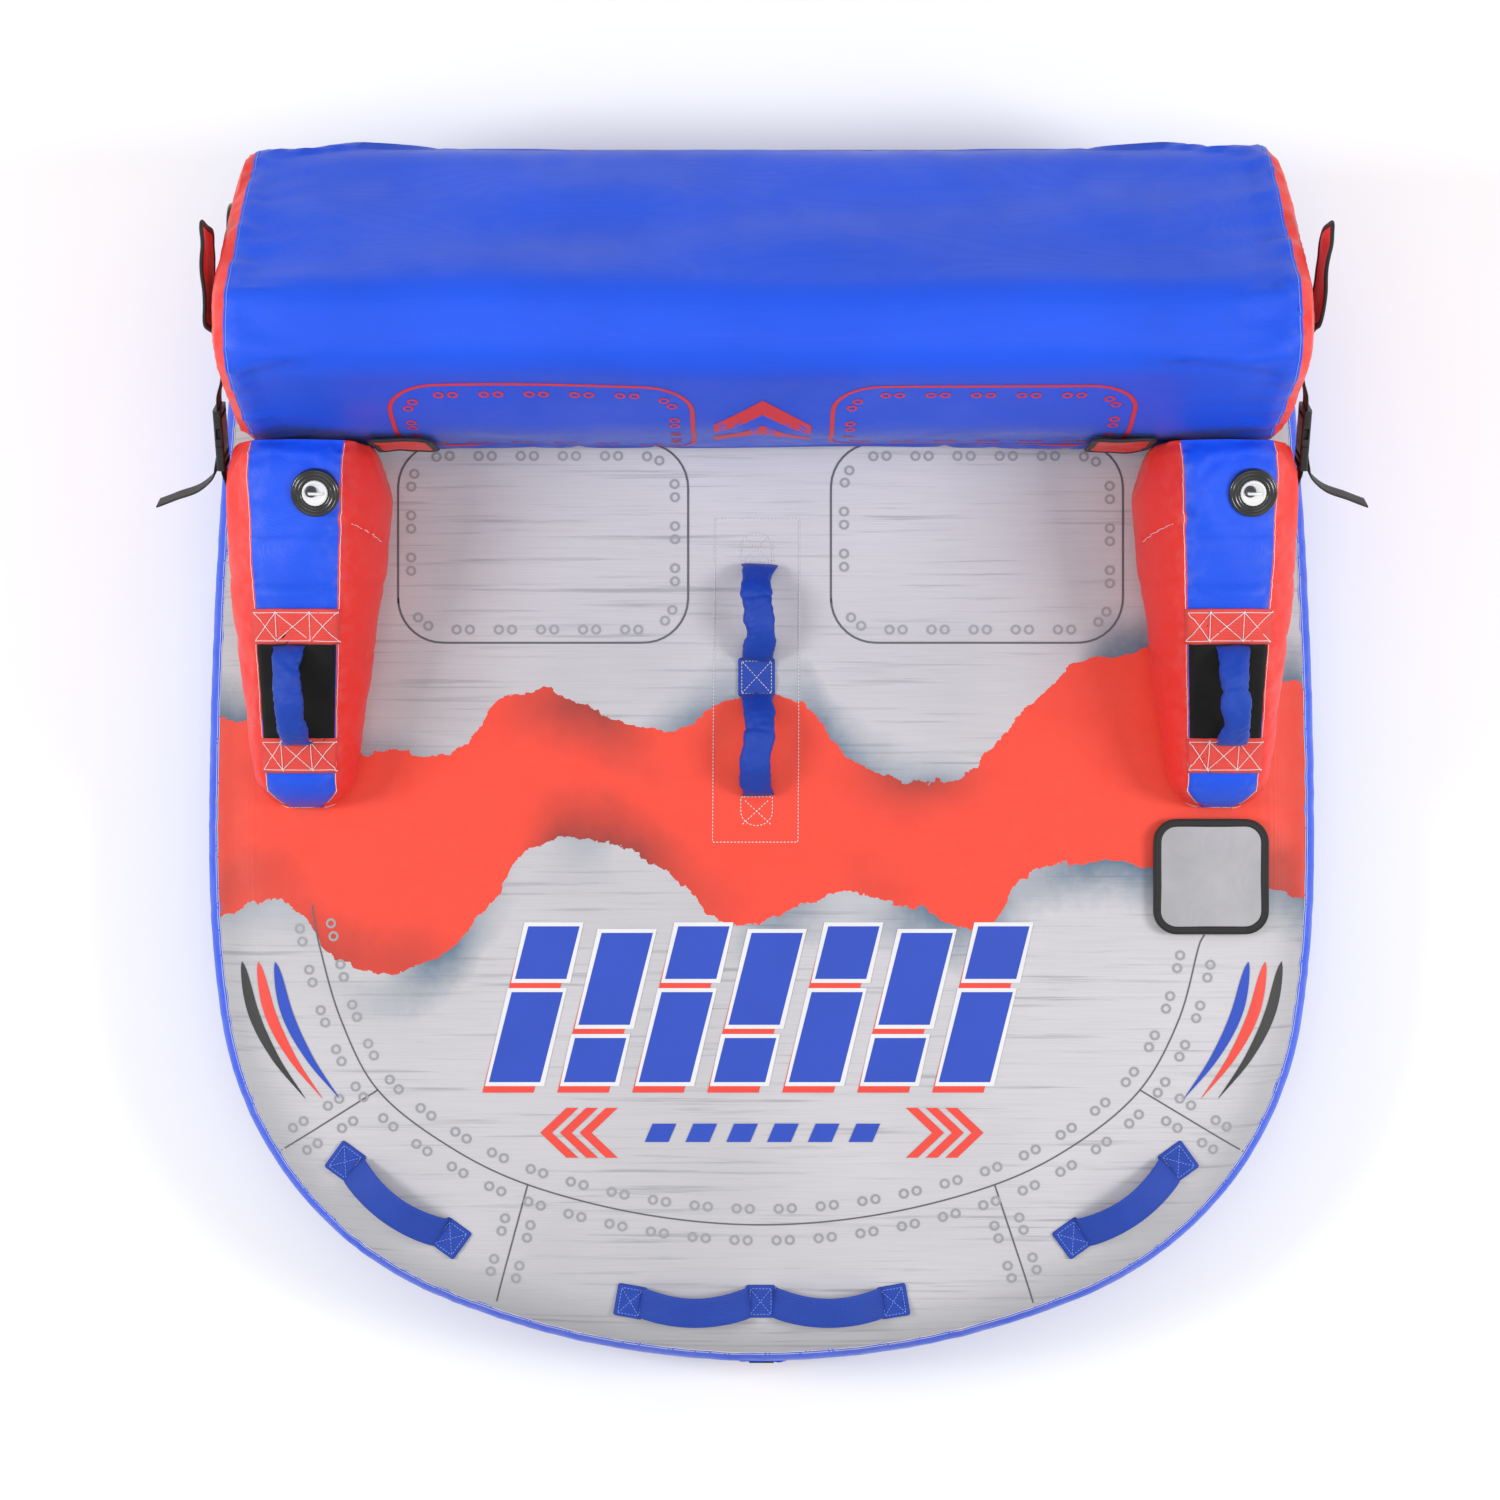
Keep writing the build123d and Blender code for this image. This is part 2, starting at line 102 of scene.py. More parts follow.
def waves(points, wavelength, seed, count=9):
    """Smooth noise of about unit size at points: a sum of plane waves near one wavelength."""
    draw = np.random.default_rng(seed)
    points = np.asarray(points, float)
    total = np.zeros(points.shape[:-1])
    for _ in range(count):
        direction = unit(draw.normal(size=points.shape[-1]))
        k = 2 * pi / (wavelength * draw.uniform(0.7, 1.5))
        total += np.sin(points @ direction * k + draw.uniform(0, 2 * pi))
    return total / np.sqrt(count / 2)


def resample(points, step, closed=False):
    """Points along a polyline at an even step."""
    points = np.asarray(points, float)
    if closed:
        points = np.vstack([points, points[:1]])
    run = np.concatenate([[0], np.cumsum(np.linalg.norm(np.diff(points, axis=0), axis=1))])
    count = max(2, int(round(run[-1] / step)) + 1)
    at = np.linspace(0, run[-1], count)
    even = np.stack([np.interp(at, run, points[:, k]) for k in range(points.shape[1])], axis=1)
    return even[:-1] if closed else even


def smooth_curve(points, step=0.004):
    """Catmull-Rom curve through given points, at an even step."""
    p = np.asarray(points, float)
    p = np.vstack([2 * p[0] - p[1], p, 2 * p[-1] - p[-2]])
    t = np.linspace(0, 1, 24, endpoint=False)[:, None]
    spans = []
    for a, b, c, d in zip(p, p[1:], p[2:], p[3:]):
        spans.append(
            0.5 * (2 * b + (c - a) * t + (2 * a - 5 * b + 4 * c - d) * t**2 + (3 * b - a - 3 * c + d) * t**3)
        )
    return resample(np.vstack(spans + [p[-2:-1]]), step)


def rounded_polygon(corners, step):
    """Closed outline of (x, y, radius) corners, taken counterclockwise or clockwise as given."""
    outline = []
    count = len(corners)
    for i, (x, y, radius) in enumerate(corners):
        here = np.array([x, y])
        before, after = (np.array(corners[(i + k) % count][:2]) for k in (-1, 1))
        a, b = unit(before - here), unit(after - here)
        half = np.arccos(np.clip(a @ b, -1, 1)) / 2
        reach = radius / tan(half)
        centre = here + unit(a + b) * radius / sin(half)
        start, end = here + a * reach - centre, here + b * reach - centre
        turn = pi - 2 * half
        for t in np.linspace(0, 1, max(3, int(radius * turn / step) + 1)):
            mix = (sin((1 - t) * turn) * start + sin(t * turn) * end) / sin(turn)
            outline.append(centre + mix)
    return resample(outline, step, closed=True)


# ---- Materials ----------------------------------------------------------------------


class Nodes:
    """Short calls for building one node tree."""

    def __init__(self, name):
        self.material = bpy.data.materials.new(name)
        self.material.use_nodes = True
        self.tree = self.material.node_tree
        self.shader = self.tree.nodes["Principled BSDF"]
        self.coordinates = self.tree.nodes.new("ShaderNodeTexCoord")

    def new(self, kind, inputs=(), **settings):
        node = self.tree.nodes.new("ShaderNode" + kind)
        for key, value in settings.items():
            setattr(node, key, value)
        for key, value in dict(inputs).items():
            self.put(value, node.inputs[key])
        return node

    def put(self, value, socket):
        if isinstance(value, bpy.types.NodeSocket):
            self.tree.links.new(value, socket)
        else:
            socket.default_value = value

    def math(self, operation, a, b=0.0):
        return self.new("Math", {0: a, 1: b}, operation=operation).outputs[0]

    def scaled(self, scale):
        vector = self.coordinates.outputs["Object"]
        return self.new("Mapping", {"Vector": vector, "Scale": scale}).outputs[0]

    def noise(self, scale, vector=None, detail=3.0, rough=0.5):
        vector = vector or self.coordinates.outputs["Object"]
        inputs = {"Vector": vector, "Scale": scale, "Detail": detail, "Roughness": rough}
        return self.new("TexNoise", inputs).outputs["Fac"]

    def ramp(self, value, stops):
        """Colour ramp through (position, grey or colour) stops."""
        node = self.new("ValToRGB", {0: value})
        elements = node.color_ramp.elements
        while len(elements) < len(stops):
            elements.new(0.5)
        for element, (position, color) in zip(elements, stops):
            element.position = position
            element.color = (*color, 1) if isinstance(color, tuple) else (color, color, color, 1)
        return node.outputs[0]

    def mix(self, factor, a, b, blend="MIX"):
        inputs = {"Factor": factor, "A": a, "B": b}
        node = self.tree.nodes.new("ShaderNodeMix")
        node.data_type = "RGBA"
        node.blend_type = blend
        sockets = {"Factor": node.inputs[0], "A": node.inputs[6], "B": node.inputs[7]}
        for key, value in inputs.items():
            value = (*value, 1) if isinstance(value, tuple) and len(value) == 3 else value
            self.put(value, sockets[key])
        return node.outputs[2]

    def bump(self, height, strength, distance, normal=None):
        node = self.new("Bump", {"Height": height, "Strength": strength, "Distance": distance})
        if normal is not None:
            self.put(normal, node.inputs["Normal"])
        return node.outputs[0]

    def wave(self, vector, scale, direction):
        inputs = {"Vector": vector, "Scale": scale, "Distortion": 0.0, "Detail": 0.0}
        return self.new("TexWave", inputs, bands_direction=direction, wave_profile="SIN").outputs["Fac"]

    def finish(self, color, roughness, normal=None, **fixed):
        self.put((*color, 1) if isinstance(color, tuple) else color, self.shader.inputs["Base Color"])
        self.put(roughness, self.shader.inputs["Roughness"])
        if normal is not None:
            self.put(normal, self.shader.inputs["Normal"])
        for key, value in fixed.items():
            self.shader.inputs[key.replace("_", " ")].default_value = value
        return self.material


def wave_scale(pitch):
    """Scale at which Blender's wave texture repeats once in each pitch, in metres."""
    return 2 * pi / pitch / 20


def weave_height(n, pitch):
    """Over-and-under weave that shows on a face of any direction."""
    vector = n.coordinates.outputs["Object"]
    scale = wave_scale(pitch)
    x, y, z = (n.wave(vector, scale, axis) for axis in "XYZ")
    pairs = [n.math("MULTIPLY", a, b) for a, b in ((x, y), (y, z), (z, x))]
    return n.math("ADD", n.math("ADD", pairs[0], pairs[1]), pairs[2])


def nylon(name, color, shade=0.55, rough=0.42, pitch=0.0014):
    """Coated woven nylon: a fine weave, soft creases, faint colour variation, a satin sheen."""
    n = Nodes(name)
    dark = tuple(c * shade for c in color)
    cloud = n.noise(5.0, detail=4.0)
    fibre = n.noise(900.0, detail=2.0)
    base = n.mix(n.ramp(cloud, [(0.30, 0.75), (0.65, 1.0)]), dark, color)
    base = n.mix(n.ramp(fibre, [(0.35, 0.88), (0.6, 1.0)]), tuple(c * 0.7 for c in color), base)
    seam = n.new("Attribute", attribute_name="seam").outputs["Fac"]
    worn = n.math("MULTIPLY", seam, n.ramp(n.noise(60.0), [(0.45, 0.0), (0.7, 0.55)]))
    base = n.mix(worn, base, tuple(min(1.0, c * 0.7 + 0.10) for c in color))
    creases = n.noise(26.0, vector=n.scaled((1.0, 1.3, 1.0)), detail=3.0)
    normal = n.bump(creases, 0.12, 0.004)
    normal = n.bump(weave_height(n, pitch), 0.35, 0.0003, normal)
    roughness = n.ramp(n.noise(14.0), [(0.3, rough - 0.06), (0.7, rough + 0.10)])
    return n.finish(base, roughness, normal, Sheen_Weight=0.05, Sheen_Roughness=0.4, Specular_IOR_Level=0.32)


def webbing_material(name, color):
    """Flat webbing: ribs across its width and a fine twill along its length, from its UVs in metres."""
    n = Nodes(name)
    uv = n.coordinates.outputs["UV"]
    ribs = n.wave(uv, wave_scale(0.0021), "X")
    cords = n.wave(uv, wave_scale(0.0042), "Y")
    height = n.math("ADD", n.math("MULTIPLY", ribs, 0.6), cords)
    cloud = n.noise(30.0)
    base = n.mix(n.ramp(cloud, [(0.3, 0.75), (0.7, 1.0)]), tuple(c * 0.55 for c in color), color)
    base = n.mix(n.math("MULTIPLY", ribs, 0.28), base, tuple(c * 0.45 for c in color))
    fuzz = n.noise(1400.0)
    normal = n.bump(fuzz, 0.25, 0.0003)
    normal = n.bump(height, 0.6, 0.0005, normal)
    return n.finish(base, n.ramp(fuzz, [(0.3, 0.55), (0.7, 0.75)]), normal, Sheen_Weight=0.06)


def moulded(name, color, rough, grain=0.25, coat=0.0):
    """Injection-moulded plastic: fine spark-eroded grain, faint flow marks, scuffs."""
    n = Nodes(name)
    grain_noise = n.noise(1600.0, detail=2.0)
    flow = n.noise(18.0, vector=n.scaled((1.0, 3.0, 1.0)))
    scuff = n.ramp(n.noise(90.0, detail=6.0, rough=0.7), [(0.58, 0.0), (0.66, 1.0)])
    base = n.mix(n.ramp(flow, [(0.3, 0.0), (0.8, 0.25)]), color, tuple(c * 0.6 + 0.02 for c in color))
    base = n.mix(n.math("MULTIPLY", scuff, 0.18), base, tuple(min(1.0, c + 0.12) for c in color))
    normal = n.bump(grain_noise, grain, 0.0003)
    roughness = n.ramp(flow, [(0.2, rough - 0.05), (0.8, rough + 0.12)])
    return n.finish(base, roughness, normal, Coat_Weight=coat, Coat_Roughness=0.12)


def thread_material(name, color):
    n = Nodes(name)
    twist = n.wave(n.scaled((1.0, 1.0, 1.0)), wave_scale(0.0012), "DIAGONAL")
    base = n.mix(n.math("MULTIPLY", twist, 0.3), color, tuple(c * 0.6 for c in color))
    return n.finish(base, 0.6, n.bump(twist, 0.5, 0.0003), Sheen_Weight=0.2)


# The printed band across the deck: edges as (x, y) from side to side, in metres.
BAND_UPPER = [
    (-0.86, 0.06), (-0.72, 0.02), (-0.58, 0.00), (-0.47, 0.00), (-0.37, 0.09), (-0.25, 0.06),
    (-0.14, 0.03), (-0.04, 0.08), (0.05, 0.08), (0.13, -0.01), (0.22, -0.05), (0.30, -0.04),
    (0.40, 0.06), (0.50, 0.14), (0.60, 0.15), (0.72, 0.12), (0.86, 0.10),
]
BAND_LOWER = [
    (-0.86, -0.28), (-0.76, -0.23), (-0.70, -0.25), (-0.65, -0.32), (-0.52, -0.33), (-0.42, -0.24),
    (-0.35, -0.15), (-0.24, -0.14), (-0.14, -0.19), (-0.04, -0.27), (0.10, -0.22), (0.22, -0.24),
    (0.34, -0.27), (0.40, -0.19), (0.50, -0.17), (0.62, -0.18), (0.74, -0.20), (0.86, -0.24),
]
PRINT_HALF = 0.9  # the print's reach from the middle, for the edge curves


def edge_curve(n, x, points):
    """Height of a printed edge at x, from a curve through points."""
    node = n.new("FloatCurve")
    curve = node.mapping.curves[0]
    while len(curve.points) < len(points):
        curve.points.new(0.5, 0.5)
    for point, (px, py) in zip(curve.points, points):
        point.location = ((px + PRINT_HALF) / 2 / PRINT_HALF, (py + PRINT_HALF) / 2 / PRINT_HALF)
    node.mapping.update()
    share = n.math("DIVIDE", n.math("ADD", x, PRINT_HALF), 2 * PRINT_HALF)
    n.put(share, node.inputs["Value"])
    return n.math("SUBTRACT", n.math("MULTIPLY", node.outputs[0], 2 * PRINT_HALF), PRINT_HALF)


def brushed(n):
    """Light grey print with fine streaks along X."""
    fine = n.noise(1.0, vector=n.scaled((9.0, 520.0, 1.0)), detail=2.0)
    streaks = n.noise(1.0, vector=n.scaled((3.2, 130.0, 1.0)), detail=4.0, rough=0.6)
    cloud = n.noise(2.2, detail=2.0)
    base = n.mix(n.ramp(cloud, [(0.3, 0.0), (0.7, 1.0)]), (0.50, 0.49, 0.51), (0.60, 0.585, 0.61))
    base = n.mix(n.ramp(streaks, [(0.56, 0.0), (0.70, 0.75)]), base, (0.30, 0.30, 0.325))
    return n.mix(n.ramp(fine, [(0.42, 0.0), (0.62, 0.16)]), base, (0.36, 0.36, 0.38))


def deck_print():
    """Brushed-metal print with a torn red band, both under the weave of a polyester cover."""
    n = Nodes("deck_print")
    metal = brushed(n)
    split = n.new("SeparateXYZ", {0: n.coordinates.outputs["Object"]})
    x, y = split.outputs[0], split.outputs[1]
    tear = n.noise(22.0, detail=6.0, rough=0.62)
    tear = n.math("MULTIPLY", n.math("SUBTRACT", tear, 0.5), 0.055)
    above = n.math("ADD", n.math("SUBTRACT", edge_curve(n, x, BAND_UPPER), y), tear)
    below = n.math("ADD", n.math("SUBTRACT", y, edge_curve(n, x, BAND_LOWER)), tear)
    inside = n.math("MINIMUM", above, below)
    patchy = n.ramp(n.noise(3.3, detail=1.0), [(0.44, 0.0), (0.60, 1.0)])
    near_metal = n.ramp(n.math("MULTIPLY", inside, -1.0), [(0.0, 1.0), (0.075, 0.0)])
    metal = n.mix(n.math("MULTIPLY", near_metal, patchy), metal, (0.10, 0.165, 0.24))
    other = n.ramp(n.noise(2.6, detail=1.0, vector=n.scaled((1.0, 1.0, 3.0))), [(0.50, 0.0), (0.62, 1.0)])
    shadow = n.math("MULTIPLY", n.ramp(inside, [(0.0, 0.75), (0.09, 0.0)]), other)
    red = n.mix(n.noise(40.0, detail=2.0), (0.84, 0.048, 0.020), (0.88, 0.060, 0.028))
    red = n.mix(shadow, red, (0.16, 0.022, 0.02))
    color = n.mix(n.math("GREATER_THAN", inside, 0.0), metal, red)
    # Darker towards the deck's rim: partly a darker margin of the print itself, partly painted shade where
    # the edge rolls away.
    rim = n.new("Attribute", attribute_name="rim").outputs["Fac"]
    color = n.mix(n.math("MULTIPLY", rim, 0.5), color, n.mix(1.0, color, (0.55, 0.56, 0.60), "MULTIPLY"))
    normal = n.bump(n.noise(30.0, detail=3.0), 0.10, 0.002)
    normal = n.bump(weave_height(n, 0.0016), 0.3, 0.0003, normal)
    roughness = n.ramp(n.noise(16.0), [(0.3, 0.46), (0.7, 0.60)])
    return n.finish(color, roughness, normal, Sheen_Weight=0.05)


def flap_print():
    n = Nodes("flap_print")
    cloud = n.noise(9.0, detail=3.0)
    base = n.mix(n.ramp(cloud, [(0.3, 0.0), (0.7, 1.0)]), (0.36, 0.355, 0.37), (0.44, 0.43, 0.45))
    normal = n.bump(n.noise(34.0, detail=2.0), 0.25, 0.003)
    normal = n.bump(weave_height(n, 0.0014), 0.35, 0.0003, normal)
    return n.finish(base, n.ramp(cloud, [(0.2, 0.45), (0.8, 0.6)]), normal, Sheen_Weight=0.15)


def printed(name, color, rough=0.5):
    """Ink on the cover: even colour broken up by the weave under it."""
    n = Nodes(name)
    fade = n.ramp(n.noise(700.0, detail=2.0), [(0.35, 0.0), (0.75, 0.35)])
    base = n.mix(fade, color, tuple(min(1.0, c * 0.8 + 0.025) for c in color))
    base = n.mix(n.ramp(n.noise(8.0), [(0.3, 0.0), (0.7, 0.2)]), base, tuple(c * 0.6 for c in color))
    return n.finish(base, rough, n.bump(weave_height(n, 0.0016), 0.3, 0.0003))


def floor_material():
    n = Nodes("studio_floor")
    base = n.mix(n.noise(1.5, detail=2.0), (0.94, 0.94, 0.94), (0.97, 0.97, 0.97))
    return n.finish(base, 0.8)


BLUE, RED = (0.008, 0.088, 0.80), (0.88, 0.034, 0.024)
WEB_BLUE = (0.005, 0.052, 0.42)
MATERIALS = {
    "deck_print": deck_print(),
    "nylon_blue": nylon("nylon_blue", BLUE),
    "nylon_gusset": nylon("nylon_gusset", BLUE, rough=0.36),
    "nylon_red": nylon("nylon_red", RED, shade=0.7),
    "base_black": nylon("base_black", (0.018, 0.018, 0.02), pitch=0.003),
    "grip_blue": nylon("grip_blue", WEB_BLUE, rough=0.45, pitch=0.0010),
    "flap_red": nylon("flap_red", RED, shade=0.75),
    "flap_print": flap_print(),
    "webbing_blue": webbing_material("webbing_blue", WEB_BLUE),
    "webbing_red": webbing_material("webbing_red", (0.82, 0.060, 0.045)),
    "webbing_black": webbing_material("webbing_black", (0.016, 0.016, 0.018)),
    "binding_black": webbing_material("binding_black", (0.010, 0.010, 0.011)),
    "knuckle_black": nylon("knuckle_black", (0.006, 0.006, 0.006), rough=0.85, pitch=0.0009),
    "valve_black": moulded("valve_black", (0.012, 0.012, 0.012), 0.22, grain=0.06, coat=0.5),
    "valve_white": moulded("valve_white", (0.78, 0.78, 0.78), 0.30, grain=0.05, coat=0.2),
    "valve_core": moulded("valve_core", (0.035, 0.040, 0.050), 0.35),
    "buckle_black": moulded("buckle_black", (0.014, 0.014, 0.015), 0.38),
    "zip_black": moulded("zip_black", (0.012, 0.012, 0.012), 0.45),
    "zip_metal": moulded("zip_metal", (0.03, 0.03, 0.032), 0.30, coat=0.4),
    "connector_red": moulded("connector_red", (0.62, 0.028, 0.02), 0.34, grain=0.15),
    "thread_white": thread_material("thread_white", (0.80, 0.78, 0.80)),
    "thread_pale": thread_material("thread_pale", (0.46, 0.46, 0.48)),
    "thread_blue": thread_material("thread_blue", (0.20, 0.34, 0.86)),
    "ink_line": printed("ink_line", (0.115, 0.115, 0.13)),
    "ink_rivet": printed("ink_rivet", (0.34, 0.34, 0.365)),
    "ink_red": printed("ink_red", (0.72, 0.030, 0.045)),
    "ink_band_red": printed("ink_band_red", (0.86, 0.055, 0.035)),
    "ink_blue": printed("ink_blue", (0.010, 0.060, 0.50)),
    "ink_white": printed("ink_white", (0.80, 0.80, 0.82)),
    "ink_black": printed("ink_black", (0.02, 0.02, 0.022)),
}

# ---- Meshes -------------------------------------------------------------------------


def mesh_piece(name, verts, faces, material, uvs=None, smooth=True, attributes=()):
    """A mesh object with its material. uvs has one pair for each vertex, or one for each corner."""
    mesh = bpy.data.meshes.new(name)
    mesh.from_pydata([tuple(v) for v in np.asarray(verts, float)], [], [tuple(map(int, f)) for f in faces])
    if uvs is not None:
        layer = mesh.uv_layers.new(name="UVMap")
        loops = np.zeros(len(mesh.loops), int)
        mesh.loops.foreach_get("vertex_index", loops)
        uvs = np.asarray(uvs, float)
        values = uvs if len(uvs) == len(loops) and len(uvs) != len(verts) else uvs[loops]
        layer.data.foreach_set("uv", values.astype(np.float32).ravel())
    for key, values in dict(attributes).items():
        mesh.attributes.new(key, "FLOAT", "POINT").data.foreach_set("value", np.asarray(values, np.float32))
    mesh.materials.append(MATERIALS[material])
    mesh.polygons.foreach_set("use_smooth", [smooth] * len(mesh.polygons))
    mesh.update()
    piece = bpy.data.objects.new(name, mesh)
    bpy.context.scene.collection.objects.link(piece)
    return piece


def place(piece, body, replaces=()):
    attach(piece, body)
    if replaces:
        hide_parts(*replaces)
    return piece


def place_sewn(piece, replaces):
    """For a piece whose ends are sewn to the deck: bakes its transform into its mesh and hides the CAD parts
    it replaces."""
    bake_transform(piece)
    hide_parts(*replaces)
    return piece


def grid_faces(rows, columns, wrap_columns=False, wrap_rows=False):
    faces = []
    for i in range(rows if wrap_rows else rows - 1):
        for j in range(columns if wrap_columns else columns - 1):
            a, b = i * columns + j, i * columns + (j + 1) % columns
            c, d = ((i + 1) % rows) * columns + (j + 1) % columns, ((i + 1) % rows) * columns + j
            faces.append((a, b, c, d))
    return faces


def grid_uvs(points):
    """UVs in metres: u along the rows' direction of travel, v across."""
    along = np.concatenate([[0], np.cumsum(np.linalg.norm(np.diff(points.mean(axis=1), axis=0), axis=1))])
    steps = np.linalg.norm(np.diff(points, axis=1), axis=2)
    across = np.concatenate([np.zeros((len(points), 1)), np.cumsum(steps, axis=1)], axis=1)
    return np.stack([np.repeat(along[:, None], points.shape[1], axis=1), across], axis=2).reshape(-1, 2)


def end_fans(rows, columns):
    """Triangles that close both ends of a grid of rings. Its two middle points come after the grid's."""
    first, last = rows * columns, (rows - 1) * columns
    return [face for j in range(columns) for face in (
        (first, (j + 1) % columns, j), (first + 1, last + j, last + (j + 1) % columns))]


def subset(verts, faces, keep):
    """The vertices and faces of the kept faces alone, with the old index of each vertex."""
    kept = [f for f, k in zip(faces, keep) if k]
    used = sorted({i for f in kept for i in f})
    index = {old: new for new, old in enumerate(used)}
    return np.asarray(verts)[used], [tuple(index[i] for i in f) for f in kept], used


def solidify(piece, thickness, offset=-1.0):
    modifier = piece.modifiers.new("thickness", "SOLIDIFY")
    modifier.thickness = thickness
    modifier.offset = offset
    return piece


def band_section(width, thickness, side=3):
    """Closed section of flat webbing: (across, out) pairs with rounded edges."""
    half, r = width / 2 - thickness / 2, thickness / 2
    turns = np.linspace(-pi / 2, pi / 2, side + 2)
    right = [(half + r * cos(t), r * sin(t)) for t in turns]
    left = [(-half - r * cos(t), -r * sin(t)) for t in turns]
    top = [(x, r) for x in np.linspace(half, -half, 6)[1:-1]]
    bottom = [(x, -r) for x in np.linspace(-half, half, 6)[1:-1]]
    return right + top + left + bottom


def sweep(name, path, across, section, material, closed=False, offset=None):
    """A closed section carried along a path. across is the direction of the section's width at each point.
    section is one list of pairs or one for each point. The ends are capped unless the path is closed."""
    path, across = np.asarray(path, float), np.asarray(across, float)
    if across.ndim == 1:
        across = np.repeat(across[None], len(path), axis=0)
    if closed:
        tangent = unit(np.roll(path, -1, axis=0) - np.roll(path, 1, axis=0))
    else:
        tangent = unit(np.gradient(path, axis=0))
    across = unit(across - (across * tangent).sum(axis=1, keepdims=True) * tangent)
    out = np.cross(tangent, across)
    section = np.asarray(section, float)
    if section.ndim == 2:
        section = np.repeat(section[None], len(path), axis=0)
    rings = path[:, None] + section[:, :, :1] * across[:, None] + section[:, :, 1:] * out[:, None]
    if offset is not None:
        rings = rings + offset(rings)
    count, size = rings.shape[:2]
    faces = grid_faces(count, size, wrap_columns=True, wrap_rows=closed)
    verts = rings.reshape(-1, 3)
    uvs = grid_uvs(rings)
    if not closed:
        verts = np.vstack([verts, rings[0].mean(axis=0), rings[-1].mean(axis=0)])
        uvs = np.vstack([uvs, uvs[0], uvs[-1]])
        faces += end_fans(count, size)
    return mesh_piece(name, verts, faces, material, uvs)


def stitches(name, lines, material, body, pitch=0.0062, length=0.0044, radius=0.00055):
    """Separate thread stitches along lines. Each line is (points, normals of the surface)."""
    ring = [(0.0, 0.25), (0.18, 0.85), (0.5, 1.0), (0.82, 0.85), (1.0, 0.25)]
    turns = np.linspace(0, 2 * pi, 6, endpoint=False)
    verts, faces = [], []
    for points, normals in lines:
        points = np.asarray(points, float)
        normals = np.asarray(normals, float)
        if normals.ndim == 1:
            normals = np.repeat(normals[None], len(points), axis=0)
        both = resample(np.hstack([points, normals]), pitch)
        for start, end in zip(both, both[1:]):
            direction = unit(end[:3] - start[:3])
            normal = unit(start[3:] - (start[3:] @ direction) * direction)
            side = np.cross(direction, normal)
            base = len(verts)
            for t, swell in ring:
                centre = start[:3] + direction * length * t + normal * radius * (0.2 + 0.7 * swell)
                for a in turns:
                    verts.append(centre + (side * cos(a) + normal * sin(a) * 0.8) * radius * swell)
            count = len(turns)
            for i in range(len(ring) - 1):
                for j in range(count):
                    a, b = base + i * count + j, base + i * count + (j + 1) % count
                    faces.append((a, b, b + count, a + count))
            faces.append(tuple(base + j for j in reversed(range(count))))
            faces.append(tuple(base + (len(ring) - 1) * count + j for j in range(count)))
    return place(mesh_piece(name, verts, faces, material), body)


def surface_of(*objects):
    """A search tree over the final meshes of the objects, in the row frame."""
    verts, polygons = [], []
    depsgraph = bpy.context.evaluated_depsgraph_get()
    for o in objects:
        evaluated = o.evaluated_get(depsgraph)
        mesh = evaluated.to_mesh()
        base = len(verts)
        verts += [o.matrix_world @ v.co for v in mesh.vertices]
        polygons += [[base + i for i in p.vertices] for p in mesh.polygons]
        evaluated.to_mesh_clear()
    return BVHTree.FromPolygons(verts, polygons)


def cast(tree, points, direction=(0, 0, -1), back=0.6, lift=0.0004):
    """Points dropped along a direction onto a surface, and the surface's normals there."""
    direction = Vector(direction)
    landed, normals = [], []
    for p in np.asarray(points, float):
        hit, normal, _, _ = tree.ray_cast(Vector(p) - direction * back, direction, 2 * back)
        if hit is None:
            hit, normal, _, _ = tree.find_nearest(Vector(p))
        if normal.dot(direction) > 0:
            normal = -normal
        landed.append(np.array(hit + normal * lift))
        normals.append(np.array(normal))
    return np.array(landed), np.array(normals)


# ---- Cloth --------------------------------------------------------------------------

SIM_FRAMES = 20


def inflate(verts, faces, free, pressure=4.0, cap=0.014, slack=0.012):
    """Lets a closed cover swell under air pressure, if its faces wind outwards. free is 0 at a held seam
    and 1 where the cloth may move. No point moves further than cap."""
    verts = np.asarray(verts, float)
    piece = mesh_piece("sim", verts, faces, "nylon_blue")
    group = piece.vertex_groups.new(name="held")
    for i, share in enumerate(free):
        group.add([i], 1.0 - float(share), "REPLACE")
    cloth = piece.modifiers.new("cloth", "CLOTH")
    cloth.point_cache.frame_end = SIM_FRAMES
    settings = cloth.settings
    settings.quality = 6
    settings.mass = 0.2
    settings.tension_stiffness = settings.compression_stiffness = 20
    settings.shear_stiffness = 12
    settings.bending_stiffness = 0.35
    settings.use_pressure = True
    settings.uniform_pressure_force = pressure
    settings.vertex_group_mass = "held"
    settings.shrink_min = -slack
    settings.effector_weights.gravity = 0
    cloth.collision_settings.use_collision = False
    scene = bpy.context.scene
    for f in range(1, SIM_FRAMES + 1):
        scene.frame_set(f)
    evaluated = piece.evaluated_get(bpy.context.evaluated_depsgraph_get())
    moved = np.zeros(len(verts) * 3)
    evaluated.data.vertices.foreach_get("co", moved)
    moved = moved.reshape(-1, 3) - verts
    bpy.data.objects.remove(piece)
    scene.frame_set(1)
    far = np.linalg.norm(moved, axis=1, keepdims=True)
    return verts + moved * np.minimum(1.0, cap / np.maximum(far, 1e-9))


# ---- Camera, light, floor -----------------------------------------------------------

CAMERA_ABOVE_DECK = 4.6
LENS_MM = 72.6
SIDE_LIGHT_W, TOP_LIGHT_W = 96, 46
WORLD_STRENGTH = 0.56


